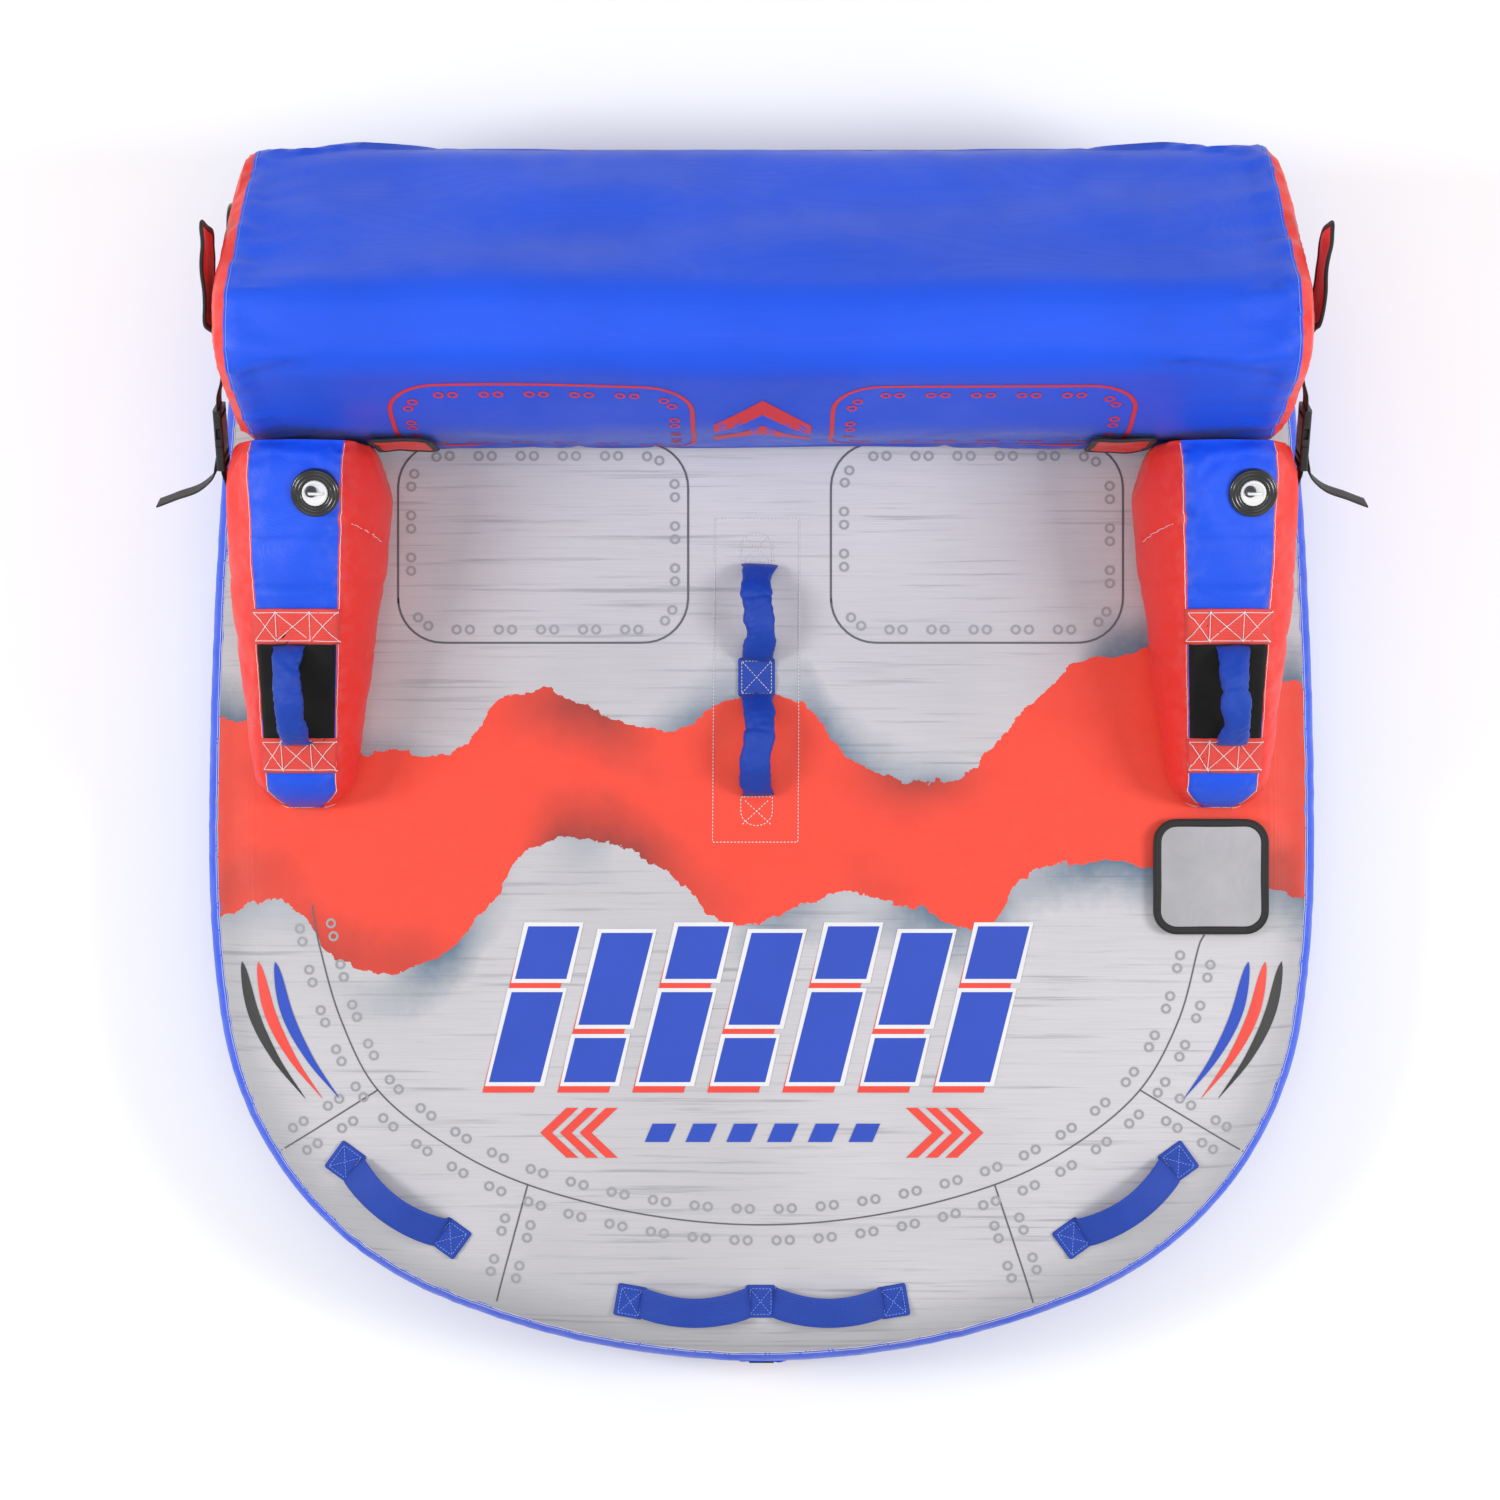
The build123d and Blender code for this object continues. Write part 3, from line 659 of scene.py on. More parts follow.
def studio():
    camera = bpy.data.objects.new("camera", bpy.data.cameras.new("camera"))
    camera.data.lens = LENS_MM
    camera.data.sensor_width = 36
    camera.data.clip_end = 60
    camera.location = (-0.018, 0, DECK_T + CAMERA_ABOVE_DECK)
    bpy.context.scene.collection.objects.link(camera)
    bpy.context.scene.camera = camera

    def softbox(name, location, size, power, target=(0, 0, 0.3)):
        light = bpy.data.lights.new(name, "AREA")
        light.shape = "RECTANGLE"
        light.size, light.size_y = size
        light.energy = power
        lamp = bpy.data.objects.new(name, light)
        lamp.location = location
        aim = Vector(target) - Vector(location)
        lamp.rotation_euler = aim.to_track_quat("-Z", "Y").to_euler()
        bpy.context.scene.collection.objects.link(lamp)

    softbox("left_light", (-3.6, 0.2, 3.4), (1.1, 1.6), SIDE_LIGHT_W)
    softbox("right_light", (3.6, -0.1, 3.4), (1.1, 1.6), SIDE_LIGHT_W)
    softbox("top_light", (0, 0.2, 6.2), (3.0, 3.0), TOP_LIGHT_W)
    world = bpy.data.worlds.new("studio")
    world.use_nodes = True
    world.node_tree.nodes["Background"].inputs["Color"].default_value = (1, 1, 1, 1)
    world.node_tree.nodes["Background"].inputs["Strength"].default_value = WORLD_STRENGTH
    bpy.context.scene.world = world
    bpy.context.scene.view_settings.view_transform = "Standard"

    size = 14.0
    steps = np.linspace(-size, size, 9)
    verts = [(x, y, 0.0) for y in steps for x in steps]
    ground = mesh_piece("floor", verts, grid_faces(9, 9), "ink_white")
    ground.data.materials[0] = floor_material()


studio()

# ---- Deck ---------------------------------------------------------------------------


def deck_outline(step=0.0125):
    """Planform at full width, anticlockwise from the nose, with unit normals that point inwards."""
    x, y, heading = 0.0, DECK_NOSE_Y, 0.0
    points, normals = [(x, y)], [(0.0, 1.0)]
    for radius, turn in DECK_ARCS:
        cx, cy = x - radius * sin(heading), y + radius * cos(heading)
        count = max(2, int(radius * radians(turn) / step))
        for h in np.linspace(heading, heading + radians(turn), count + 1)[1:]:
            points.append((cx + radius * sin(h), cy - radius * cos(h)))
            normals.append((-sin(h), cos(h)))
        (x, y), heading = points[-1], heading + radians(turn)
    count = int(x / step)
    for t in np.linspace(0, 1, count + 1)[1:]:
        points.append((x * (1 - t), y))
        normals.append((0.0, -1.0))
    half, facing = np.array(points), np.array(normals)
    flip = np.array([-1.0, 1.0])
    return np.vstack([half, (half[1:-1] * flip)[::-1]]), np.vstack([facing, (facing[1:-1] * flip)[::-1]])


DECK_ZIP_HALF = 0.53  # half the width of the stern's flat strip that carries the zip


def deck_rings():
    """(inset, height) pairs round the rolled edge: the underside's from the bottom, the top's from above."""
    under, top = [], []
    roll = np.linspace(0, pi / 2, 17)
    for a in roll:
        inset, drop = DECK_ROLL * (1 - sin(a)), DECK_ROLL * (1 - cos(a))
        top.append((inset, DECK_T - drop))
        under.append((inset, drop))
    return under, top


def build_deck():
    outline, inward = deck_outline()
    count = len(outline)
    run = np.concatenate([[0], np.cumsum(np.linalg.norm(np.diff(outline, axis=0), axis=1))])
    perimeter = run[-1] + np.linalg.norm(outline[0] - outline[-1])
    under, top = deck_rings()
    levels = [0.0, 0.06, 0.12, 0.25, 0.4, 0.55, 0.7, 0.82, 0.9, 0.95, 0.98]
    flat = outline + inward * DECK_ROLL
    middle = np.array([0.0, -0.02])
    seam_z = DECK_T - DECK_ROLL * (1 - cos(SEAM_ANGLE))

    rings, tags = [], []
    for share in levels[1:]:
        rings.append(np.c_[middle + (flat - middle) * share, np.zeros(count)])
        tags.append("bottom")
    sides = [(i, z) for i, z in under] + [(-0.003, DECK_T / 2)] + [(i, z) for i, z in reversed(top)]
    for inset, z in sides:
        rings.append(np.c_[outline + inward * inset, np.full(count, z)])
        tags.append("gusset" if DECK_T - seam_z <= z < seam_z else "top" if z >= seam_z else "bottom")
    for share in reversed(levels[1:]):
        rings.append(np.c_[middle + (flat - middle) * share, np.full(count, DECK_T)])
        tags.append("top")

    # Puckers where the panels are gathered into their seams.
    arc = np.c_[np.cos(2 * pi * run / perimeter), np.sin(2 * pi * run / perimeter)] * perimeter / 2 / pi
    gather = waves(arc, 0.050, 11) * 0.55 + waves(arc, 0.026, 12) * 0.45
    shaped, seam_near = [], []
    for ring, tag in zip(rings, tags):
        z = ring[0, 2]
        at_side = 0.004 < z < DECK_T - 0.0005
        pull = 0.0
        near = 0.0
        for level in (seam_z, DECK_T - seam_z):
            gap = abs(z - level)
            near = max(near, float(np.exp(-gap / 0.010)))
            if at_side:
                depth = 0.0030 * np.exp(-((gap / 0.007) ** 2))
                pull = pull + depth + gather * 0.0019 * np.exp(-gap / 0.022) * (0.4 + 0.6 * (gap > 0.002))
        moved = ring.copy()
        moved[:, :2] += inward * np.reshape(pull + np.zeros(count), (-1, 1))
        if tag == "gusset":
            held = np.minimum(moved[:, 1], ZIP_FACE_Y["deck"])
            moved[:, 1] = np.where(np.abs(moved[:, 0]) < DECK_ZIP_HALF, held, moved[:, 1])
        shaped.append(moved)
        seam_near.append(np.full(count, near))
    verts = np.vstack(shaped + [[[*middle, 0.0]], [[*middle, DECK_T]]])
    faces = grid_faces(len(shaped), count, wrap_columns=True)
    owners = [tags[i] if tags[i] == tags[i + 1] else "gusset"
              for i in range(len(shaped) - 1) for _ in range(count)]
    low, high = len(verts) - 2, len(verts) - 1
    last = (len(shaped) - 1) * count
    for j in range(count):
        faces += [(low, (j + 1) % count, j), (high, last + j, last + (j + 1) % count)]
        owners += ["bottom", "top"]
    near = np.concatenate(seam_near + [[0.0, 0.0]])
    # rim is 1 at the outline and 0 from 13 cm inside. The top cover's print darkens with it, partly as the
    # print's own margin and partly as painted shade of the rolled edge.
    rim = 1 - smoothstep(0.0, 0.13, distance_in(outline, inward, verts))

    pieces = {}
    looks = {
        "top": ("deck_top_cover", "deck_print", "deck_print", "deck_top_panel"),
        "gusset": ("deck_gusset_cover", "nylon_gusset", "nylon_gusset", "deck_side_gusset"),
        "bottom": ("deck_base_cover", "base_black", "base_black", "deck_bottom_panel"),
    }
    for tag, (name, material, slot, node) in looks.items():
        v, f, used = subset(verts, faces, [o == tag for o in owners])
        attributes = {"seam": near[used], "rim": rim[used]}
        piece = mesh_piece(name, v, f, material, uvs=v[:, :2], attributes=attributes)
        nodes = [node, "deck_bladder"] if tag == "gusset" else [node]
        pieces[tag] = place(piece, "deck", nodes)
    return outline, inward, pieces


def distance_in(outline, inward, points):
    """Each point's distance inside the planform, from its nearest outline point."""
    result = np.empty(len(points))
    for start in range(0, len(points), 4000):
        block = points[start : start + 4000, None, :2] - outline[None]
        nearest = np.argmin((block**2).sum(axis=2), axis=1)
        rows = np.arange(len(nearest))
        result[start : start + 4000] = (block[rows, nearest] * inward[nearest]).sum(axis=1)
    return result


deck_line, deck_inward, deck_covers = build_deck()
deck_tree = surface_of(deck_covers["top"], deck_covers["gusset"])


def deck_seam_stitches():
    """Two rows of white thread on the top panel, just inside its seam."""
    rows = []
    for step in (2.5, 6.5):
        inset = DECK_ROLL * (1 - sin(SEAM_ANGLE - radians(step)))
        line = np.c_[deck_line + deck_inward * inset, np.full(len(deck_line), DECK_T)]
        rows.append(cast(deck_tree, np.vstack([line, line[:1]]), lift=0.0))
    stitches("deck_seam_stitches", rows, "thread_white", "deck", 0.0066, 0.0046, 0.0006)


deck_seam_stitches()

# ---- Arms ---------------------------------------------------------------------------

ARM_PLAN = [
    (0.4495, 0.186, 0.232), (0.425, 0.212, 0.247), (0.385, 0.226, 0.250), (0.300, 0.218, 0.229),
    (0.215, 0.202, 0.204), (0.090, 0.175, 0.158), (-0.030, 0.148, 0.112), (-0.060, 0.128, 0.090),
    (-0.078, 0.098, 0.058), (-0.087, 0.060, 0.024),
]  # y, width, height above the deck
ARM_TOP_REAR, ARM_TOP_NOSE = 0.140, 0.100
ARM_CROWN = 0.007
FLAP_HINGE_X = 0.5725
STRAP_INNER_X = 0.7866


def arm_x(y):
    share = (0.452 - y) / 0.540
    return ARM_X_REAR + share * (ARM_X_NOSE - ARM_X_REAR)


def arm_top_half(y):
    share = np.clip((0.452 - y) / 0.540, 0, 1)
    return (ARM_TOP_REAR + share * (ARM_TOP_NOSE - ARM_TOP_REAR)) / 2


ARM_SIDE_N, ARM_TOP_N, ARM_BASE_N = 22, 18, 10


def arm_mesh():
    """Rings of the right arm from its rear to its nose, with how free the cloth is at each point."""
    plan = smooth_curve(ARM_PLAN, 0.0065)
    rings, free = [], []
    for y, width, height in plan:
        nose = smoothstep(-0.055, -0.086, y)
        half = width / 2
        top = min(arm_top_half(y), half * (0.82 - 0.10 * nose))
        base = half * 0.86
        crown = min(ARM_CROWN, height * 0.2)
        shoulder = height - crown
        t = np.linspace(0, 1, ARM_SIDE_N + 1)[:-1]
        bulge = 4 * t * (1 - t)
        reach = half - (base + top) / 2
        side_x = base + (top - base) * t**1.4 + reach * bulge * (1.0 + 0.25 * (0.5 - t))
        side_z = shoulder * (t + 0.10 * np.sin(pi * t) * (1 - t))
        across = np.linspace(1, -1, ARM_TOP_N + 1)[:-1]
        lid = np.c_[top * across, shoulder + crown * (1 - across**2)]
        right = np.c_[side_x, side_z]
        left = np.c_[-side_x, side_z][::-1]
        left = np.vstack([[-top, shoulder], left[:-1]])
        floor = np.c_[np.linspace(-base, base, ARM_BASE_N + 1)[:-1], np.zeros(ARM_BASE_N)]
        section = np.vstack([right, lid, left, floor])
        section[:, 1] = np.maximum(section[:, 1], 0.0)
        along = np.full(len(section), y)
        rings.append(np.c_[arm_x(y) + section[:, 0], along, DECK_T + 0.0006 + section[:, 1]])
        low = smoothstep(0.004, 0.05, section[:, 1])
        seam = np.ones(len(section))
        seam[[ARM_SIDE_N, ARM_SIDE_N + ARM_TOP_N]] = 0.1
        on_top = (np.abs(section[:, 0]) < top * 1.02) * (section[:, 1] > shoulder * 0.9)
        pad = 1 - 0.9 * smoothstep(0.24, 0.21, y) * on_top
        free.append(low * seam * pad)
    return np.array(rings), np.array(free)


def build_arms():
    rings, free = arm_mesh()
    rows, columns = rings.shape[:2]
    ends = np.array([rings[0].mean(axis=0), rings[-1].mean(axis=0)])
    verts = np.vstack([rings.reshape(-1, 3), ends])
    faces = grid_faces(rows, columns, wrap_columns=True)
    kinds = []
    for _ in range(rows - 1):
        for j in range(columns):
            kinds.append("top" if ARM_SIDE_N <= j < ARM_SIDE_N + ARM_TOP_N else "side")
    faces += end_fans(rows, columns)
    kinds += ["side", "top"] * columns
    valve = np.array(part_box("arm_right_valve_ring")).mean(axis=0)
    gap = np.linalg.norm(verts[:, :2] - valve[:2], axis=1)
    loose = np.concatenate([free.ravel(), [0.3, 0.3]]) * (0.05 + 0.95 * smoothstep(0.035, 0.075, gap))
    loose *= 0.1 + 0.9 * smoothstep(0.4495, 0.430, verts[:, 1])
    verts = inflate(verts, faces, loose, cap=0.012)
    verts[:, 2] = np.maximum(verts[:, 2], DECK_T + 0.0006)
    verts[:, 1] = np.minimum(verts[:, 1], ARM_REAR_Y + 0.001)

    # Gathers along the two top seams and at the rear end, and the soft dents between them.
    grid = verts[: rows * columns].reshape(rows, columns, 3)
    out = unit(np.gradient(grid, axis=0))
    round_ = unit(np.roll(grid, -1, axis=1) - np.roll(grid, 1, axis=1))
    normal = unit(np.cross(round_, out))
    centre = grid.mean(axis=1, keepdims=True)
    normal *= np.sign(((grid - centre) * normal).sum(axis=2, keepdims=True) + 1e-12)
    y = grid[:, :, 1]
    index = np.arange(columns)
    steps = np.minimum(np.abs(index - ARM_SIDE_N), np.abs(index - ARM_SIDE_N - ARM_TOP_N))
    seam = np.exp(-steps / 2.6)[None, :] * np.ones((rows, 1))
    gather = waves(grid, 0.028, 21) * 0.0013 * seam * (steps > 0)[None, :]
    dent = -0.0022 * np.exp(-((steps / 0.8) ** 2))[None, :] * np.ones((rows, 1))
    ends_near = np.exp(-np.abs(ARM_REAR_Y - y) / 0.035)
    folds = waves(grid * np.array([1.0, 0.25, 1.0]), 0.030, 22) * 0.0030 * ends_near
    dart = dart_depth(grid)
    soft = waves(grid, 0.10, 23) * 0.0012
    raised = grid[:, :, 2] > DECK_T + 0.006
    move = (gather + dent + folds + soft + dart) * raised
    grid += normal * move[:, :, None]
    grid[:, :, 0] = np.clip(grid[:, :, 0], flap_sweep(grid[:, :, 1]), STRAP_INNER_X)
    verts = np.vstack([grid.reshape(-1, 3), grid[0].mean(axis=0), grid[-1].mean(axis=0)])
    verts[:, 1] = np.minimum(verts[:, 1], ARM_REAR_Y - 0.0012)
    near = np.concatenate([seam.ravel(), [0, 0]])

    arms = {}
    for side, sign in (("right", 1), ("left", -1)):
        placed = verts * np.array([sign, 1, 1])
        turned = faces if sign > 0 else [f[::-1] for f in faces]
        made = []
        for kind, name, material, slot, nodes in (
            ("top", "top_cover", "nylon_blue", "nylon_blue", ["top_panel"]),
            ("side", "side_cover", "nylon_red", "nylon_red", ["side_panels", "bladder"]),
        ):
            v, f, used = subset(placed, turned, [k == kind for k in kinds])
            piece = mesh_piece(f"arm_{side}_{name}", v, f, material, attributes={"seam": near[used]})
            place(piece, "deck", [f"arm_{side}_{n}" for n in nodes])
            made.append(piece)
        arms[side] = made
        lines = []
        for column, nudge in ((ARM_SIDE_N, 1), (ARM_SIDE_N + ARM_TOP_N, -1)):
            rows_kept = slice(1, rows - 6)
            seam_line = grid[rows_kept, column] * 0.72 + grid[rows_kept, column - nudge] * 0.28
            lines.append((seam_line * [sign, 1, 1], normal[rows_kept, column] * [sign, 1, 1]))
        stitches(f"arm_{side}_seam_stitches", lines, "thread_white", "deck", 0.0058, 0.0042)
    return arms


def flap_sweep(y):
    """The innermost X that leaves room for the open arm flap, which folds to 70 degrees along the arm."""
    room = FLAP_HINGE_X - (ARM_REAR_Y - y) / tan(radians(70)) + 0.006
    return np.where(y > 0.358, room, 0.0)


def dart_depth(grid):
    """A short curved dart across the inner side, with creases that run into it."""
    y, z = grid[:, :, 1], grid[:, :, 2] - DECK_T
    inner = grid[:, :, 0] < ARM_X_REAR - 0.03
    line = 0.335 - 0.25 * (0.235 - z)
    gap = y - line
    groove = -0.0030 * np.exp(-((gap / 0.006) ** 2))
    creases = 0.0016 * np.sin(z * 2 * pi / 0.020 + y * 60) * np.exp(-np.abs(gap) / 0.02)
    return (groove + creases) * inner * smoothstep(0.10, 0.14, z)


arms = build_arms()
arm_trees = {side: surface_of(*covers) for side, covers in arms.items()}

# ---- Backrest -----------------------------------------------------------------------


def back_rings():
    """Cross-section points (y, z) around the backrest, their outward normals and their centre."""
    corners = [(y, DECK_T + z, r) for y, z, r in BACK_PROFILE]
    profile = rounded_polygon(corners, 0.011)
    centre = profile.mean(axis=0)
    tangent = unit(np.roll(profile, -1, axis=0) - np.roll(profile, 1, axis=0))
    normal = np.c_[tangent[:, 1], -tangent[:, 0]]
    normal *= np.sign(((profile - centre) * normal).sum(axis=1, keepdims=True))
    return profile, normal, centre


CAP_RINGS = 14
BACK_FRONT_Y = 0.4545  # the front of the backrest stays behind this, clear of the arms


def build_backrest():
    profile, normal, centre = back_rings()
    count = len(profile)
    stations = np.linspace(-BACK_SEAM_X, BACK_SEAM_X, 125)
    domes = []
    for k in range(1, CAP_RINGS + 1):
        share = 1 - k / (CAP_RINGS + 0.6)
        domes.append((share, BACK_CAP * (1 - share**2.6) ** 0.62))
    rings, free = [], []
    for share, out in reversed(domes):
        rings.append(np.c_[np.full(count, -BACK_SEAM_X - out), centre + (profile - centre) * share])
        free.append(np.full(count, 0.5))
    for x in stations:
        rings.append(np.c_[np.full(count, x), profile])
        free.append(np.full(count, smoothstep(-0.004, 0.03, BACK_SEAM_X - abs(x))))
    for share, out in domes:
        rings.append(np.c_[np.full(count, BACK_SEAM_X + out), centre + (profile - centre) * share])
        free.append(np.full(count, 0.5))
    rings, free = np.array(rings), np.array(free)
    free *= smoothstep(DECK_T + 0.004, DECK_T + 0.06, rings[:, :, 2])
    zip_z = box_middle("backrest_zip_tape").z
    by_zip = 1 - smoothstep(0.60, 0.68, np.abs(rings[:, :, 0]))
    by_zip *= np.exp(-(((rings[:, :, 2] - zip_z) / 0.030) ** 4)) * (rings[:, :, 1] > 0.80)
    free *= 1 - by_zip
    rows = len(rings)
    verts = np.vstack([rings.reshape(-1, 3), rings[0].mean(axis=0), rings[-1].mean(axis=0)])
    faces = grid_faces(rows, count, wrap_columns=True)
    kinds = ["left" if i < CAP_RINGS else "right" if i >= rows - 1 - CAP_RINGS else "cover"
             for i in range(rows - 1) for _ in range(count)]
    faces += end_fans(rows, count)
    kinds += ["left", "right"] * count
    # Known fault: these faces wind inwards, so the pressure draws this cover in, mostly as far as the cap.
    verts = inflate(verts, faces, np.concatenate([free.ravel(), [0.5, 0.5]]), cap=0.010, slack=0.008)

    grid = verts[: rows * count].reshape(rows, count, 3)
    outward = np.concatenate([np.zeros((count, 1)), normal], axis=1)[None] * np.ones((rows, 1, 1))
    x = grid[:, :, 0]
    ends = np.abs(np.abs(x) - BACK_SEAM_X)
    around = waves(np.repeat(profile[None], rows, axis=0), 0.026, 31)
    drawn = waves(grid * np.array([0.18, 1.0, 1.0]), 0.034, 32)
    gather = around * 0.0013 * np.exp(-ends / 0.010) + drawn * 0.0024 * np.exp(-ends / 0.060)
    dent = -0.0040 * np.exp(-((ends / 0.007) ** 2))
    soft = waves(grid * np.array([0.35, 1.0, 1.0]), 0.16, 33) * 0.0016
    swell = 0.006 * np.sin(pi * np.clip((BACK_SEAM_X - np.abs(x)) / 0.25, 0, 0.5))
    high = smoothstep(DECK_T + 0.003, DECK_T + 0.03, grid[:, :, 2])
    inner = np.abs(x) <= BACK_SEAM_X + 1e-6
    move = (gather + dent + (soft + swell) * inner) * high
    grid += outward * (move * (1 - by_zip))[:, :, None]
    flat_back = np.minimum(grid[:, :, 1], ZIP_FACE_Y["backrest"])
    grid[:, :, 1] = np.where(by_zip > 0.35, flat_back, grid[:, :, 1])
    grid[:, :, 2] = np.maximum(grid[:, :, 2], DECK_T + 0.0012)
    at_arm = grid[:, :, 2] < DECK_T + 0.27
    grid[:, :, 1] = np.where(at_arm, np.maximum(grid[:, :, 1], BACK_FRONT_Y), grid[:, :, 1])
    verts = np.vstack([grid.reshape(-1, 3), grid[0].mean(axis=0), grid[-1].mean(axis=0)])
    near = np.concatenate([np.exp(-ends / 0.012).ravel(), [0, 0]])
    made = {}
    for kind, name, material, slot, nodes in (
        ("cover", "backrest_main_cover", "nylon_blue", "nylon_blue", ["backrest_cover", "backrest_bladder"]),
        ("left", "backrest_left_cap_cover", "nylon_red", "nylon_red_cap", ["backrest_end_cap_left"]),
        ("right", "backrest_right_cap_cover", "nylon_red", "nylon_red_cap", ["backrest_end_cap_right"]),
    ):
        v, f, used = subset(verts, faces, [k == kind for k in kinds])
        piece = mesh_piece(name, v, f, material, attributes={"seam": near[used]})
        made[kind] = place(piece, "backrest", nodes)
    lines = []
    for row, step in ((CAP_RINGS, 1), (rows - 1 - CAP_RINGS, -1)):
        ring = grid[row] * 0.65 + grid[row + step] * 0.35
        ring = np.vstack([ring, ring[:1]])
        lines.append((ring, np.vstack([outward[row], outward[row][:1]])))
    stitches("backrest_seam_stitches", lines, "thread_blue", "backrest", 0.0058, 0.0042)
    return made


back = build_backrest()
back_tree = surface_of(*back.values())

# ---- Print on the covers, as thin shapes that lie on them ----------------------------


def ribbon(points, width):
    """Flat band of two rails along (x, y) points."""
    points = np.asarray(points, float)
    tangent = unit(np.gradient(points, axis=0))
    side = np.c_[-tangent[:, 1], tangent[:, 0]] * np.reshape(width, (-1, 1)) / 2
    return points + side, points - side


class Print:
    """Collects flat shapes drawn in a plane and lays them on a surface as one piece."""

    def __init__(self, tree, direction, plane, lift=0.0005):
        self.tree, self.direction, self.plane, self.lift = tree, direction, plane, lift
        self.verts, self.faces = [], []

    def add(self, points, faces):
        base = len(self.verts)
        self.verts += [tuple(p) for p in points]
        self.faces += [tuple(base + i for i in f) for f in faces]

    def line(self, points, width, step=0.012):
        a, b = ribbon(resample(points, step), width)
        strip = np.stack([a, b], axis=1).reshape(-1, 2)
        self.add(strip, grid_faces(len(a), 2))

    def blade(self, spine, width, columns=7):
        """A curved blade, pointed at both ends and widest nearer its start."""
        spine = smooth_curve(spine, 0.008)
        t = np.linspace(0, 1, len(spine))
        a, b = ribbon(spine, width * np.sin(pi * t**0.62) + 0.0004)
        share = np.linspace(0, 1, columns)[None, :, None]
        grid = a[:, None] * (1 - share) + b[:, None] * share
        self.add(grid.reshape(-1, 2), grid_faces(len(spine), columns))

    def loop(self, corners, width):
        outline = rounded_polygon(corners, 0.008)
        self.line(np.vstack([outline, outline[:2]]), width)

    def ring(self, centre, radius, inner, sides=20):
        turns = np.linspace(0, 2 * pi, sides, endpoint=False)
        circle = np.c_[np.cos(turns), np.sin(turns)]
        points = np.vstack([centre + circle * radius, centre + circle * inner])
        self.add(points, [(j, (j + 1) % sides, sides + (j + 1) % sides, sides + j) for j in range(sides)])

    def quad(self, corners, step=0.03):
        """A four-cornered patch, split so that it follows the surface."""
        a, b, c, d = (np.asarray(p, float) for p in corners)
        n = max(2, int(max(np.linalg.norm(b - a), np.linalg.norm(c - b)) / step) + 1)
        u = np.linspace(0, 1, n)
        grid = [[(a * (1 - s) + b * s) * (1 - t) + (d * (1 - s) + c * s) * t for s in u] for t in u]
        self.add(np.array(grid).reshape(-1, 2), grid_faces(n, n))

    def lay(self, name, material, body, slot):
        flat = np.array([self.plane(*p) for p in self.verts])
        landed, _ = cast(self.tree, flat, self.direction, lift=self.lift)
        return place(mesh_piece(name, landed, self.faces, material), body)


def on_deck(x, y):
    return (x, y, DECK_T)


RIVET_R, RIVET_INNER, RIVET_GAP, RIVET_STEP = 0.0078, 0.0042, 0.020, 0.064
DOWN = (0, 0, -1)


def riveted(pen, line, aside):
    """Pairs of rivets beside a line, at a steady step."""
    line = resample(line, 0.004)
    tangent = unit(np.gradient(line, axis=0))
    path = line + np.c_[-tangent[:, 1], tangent[:, 0]] * aside
    run = np.concatenate([[0], np.cumsum(np.linalg.norm(np.diff(path, axis=0), axis=1))])
    at = RIVET_STEP / 2
    while at + RIVET_GAP < run[-1]:
        for s in (at, at + RIVET_GAP):
            pen.ring(np.array([np.interp(s, run, path[:, k]) for k in (0, 1)]), RIVET_R, RIVET_INNER)
        at += RIVET_STEP


SEAT_PANELS = [((-0.553, 0.163), (-0.112, 0.467)), ((0.105, 0.163), (0.549, 0.467))]
PANEL_CORNER = 0.068
NOSE_PANEL = [
    (-0.684, -0.236), (-0.672, -0.300), (-0.640, -0.410), (-0.584, -0.517), (-0.480, -0.600),
    (-0.356, -0.661), (-0.180, -0.706), (0.000, -0.722), (0.180, -0.706), (0.354, -0.661),
    (0.476, -0.600), (0.575, -0.517), (0.634, -0.410), (0.664, -0.300), (0.673, -0.281),
]
NOSE_SPOKES = [
    ((-0.584, -0.517), (-0.735, -0.612)), ((-0.356, -0.661), (-0.405, -0.842)),
    ((0.354, -0.661), (0.415, -0.845)), ((0.575, -0.517), (0.738, -0.615)),
]


def rectangle(low, high, radius):
    (x0, y0), (x1, y1) = low, high
    return [(x0, y0, radius), (x1, y0, radius), (x1, y1, radius), (x0, y1, radius)]


def deck_lines():
    lines, rivets = Print(deck_tree, DOWN, on_deck), Print(deck_tree, DOWN, on_deck, 0.0006)
    for low, high in SEAT_PANELS:
        lines.loop(rectangle(low, high, PANEL_CORNER), 0.0032)
        margin = 0.020
        inner = rectangle([v + margin for v in low], [v - margin for v in high], PANEL_CORNER - margin)
        riveted(rivets, rounded_polygon(inner, 0.01), 0.0)
    curve = smooth_curve(NOSE_PANEL, 0.012)
    lines.line(curve, 0.0024)
    for aside in (0.024, -0.024):
        riveted(rivets, curve, aside)
    for a, b in NOSE_SPOKES:
        lines.line([a, b], 0.0024)
        a, b = np.array(a), np.array(b)
        for aside in (0.020, -0.020):
            riveted(rivets, [a + (b - a) * 0.14, a + (b - a) * 0.90], aside)
    lines.lay("deck_panel_lines", "ink_line", "deck", "deck_print")
    rivets.lay("deck_printed_rivets", "ink_rivet", "deck", "deck_print")


SIDE_SLASH = [(0.792, -0.322), (0.774, -0.400), (0.740, -0.468), (0.694, -0.530)]


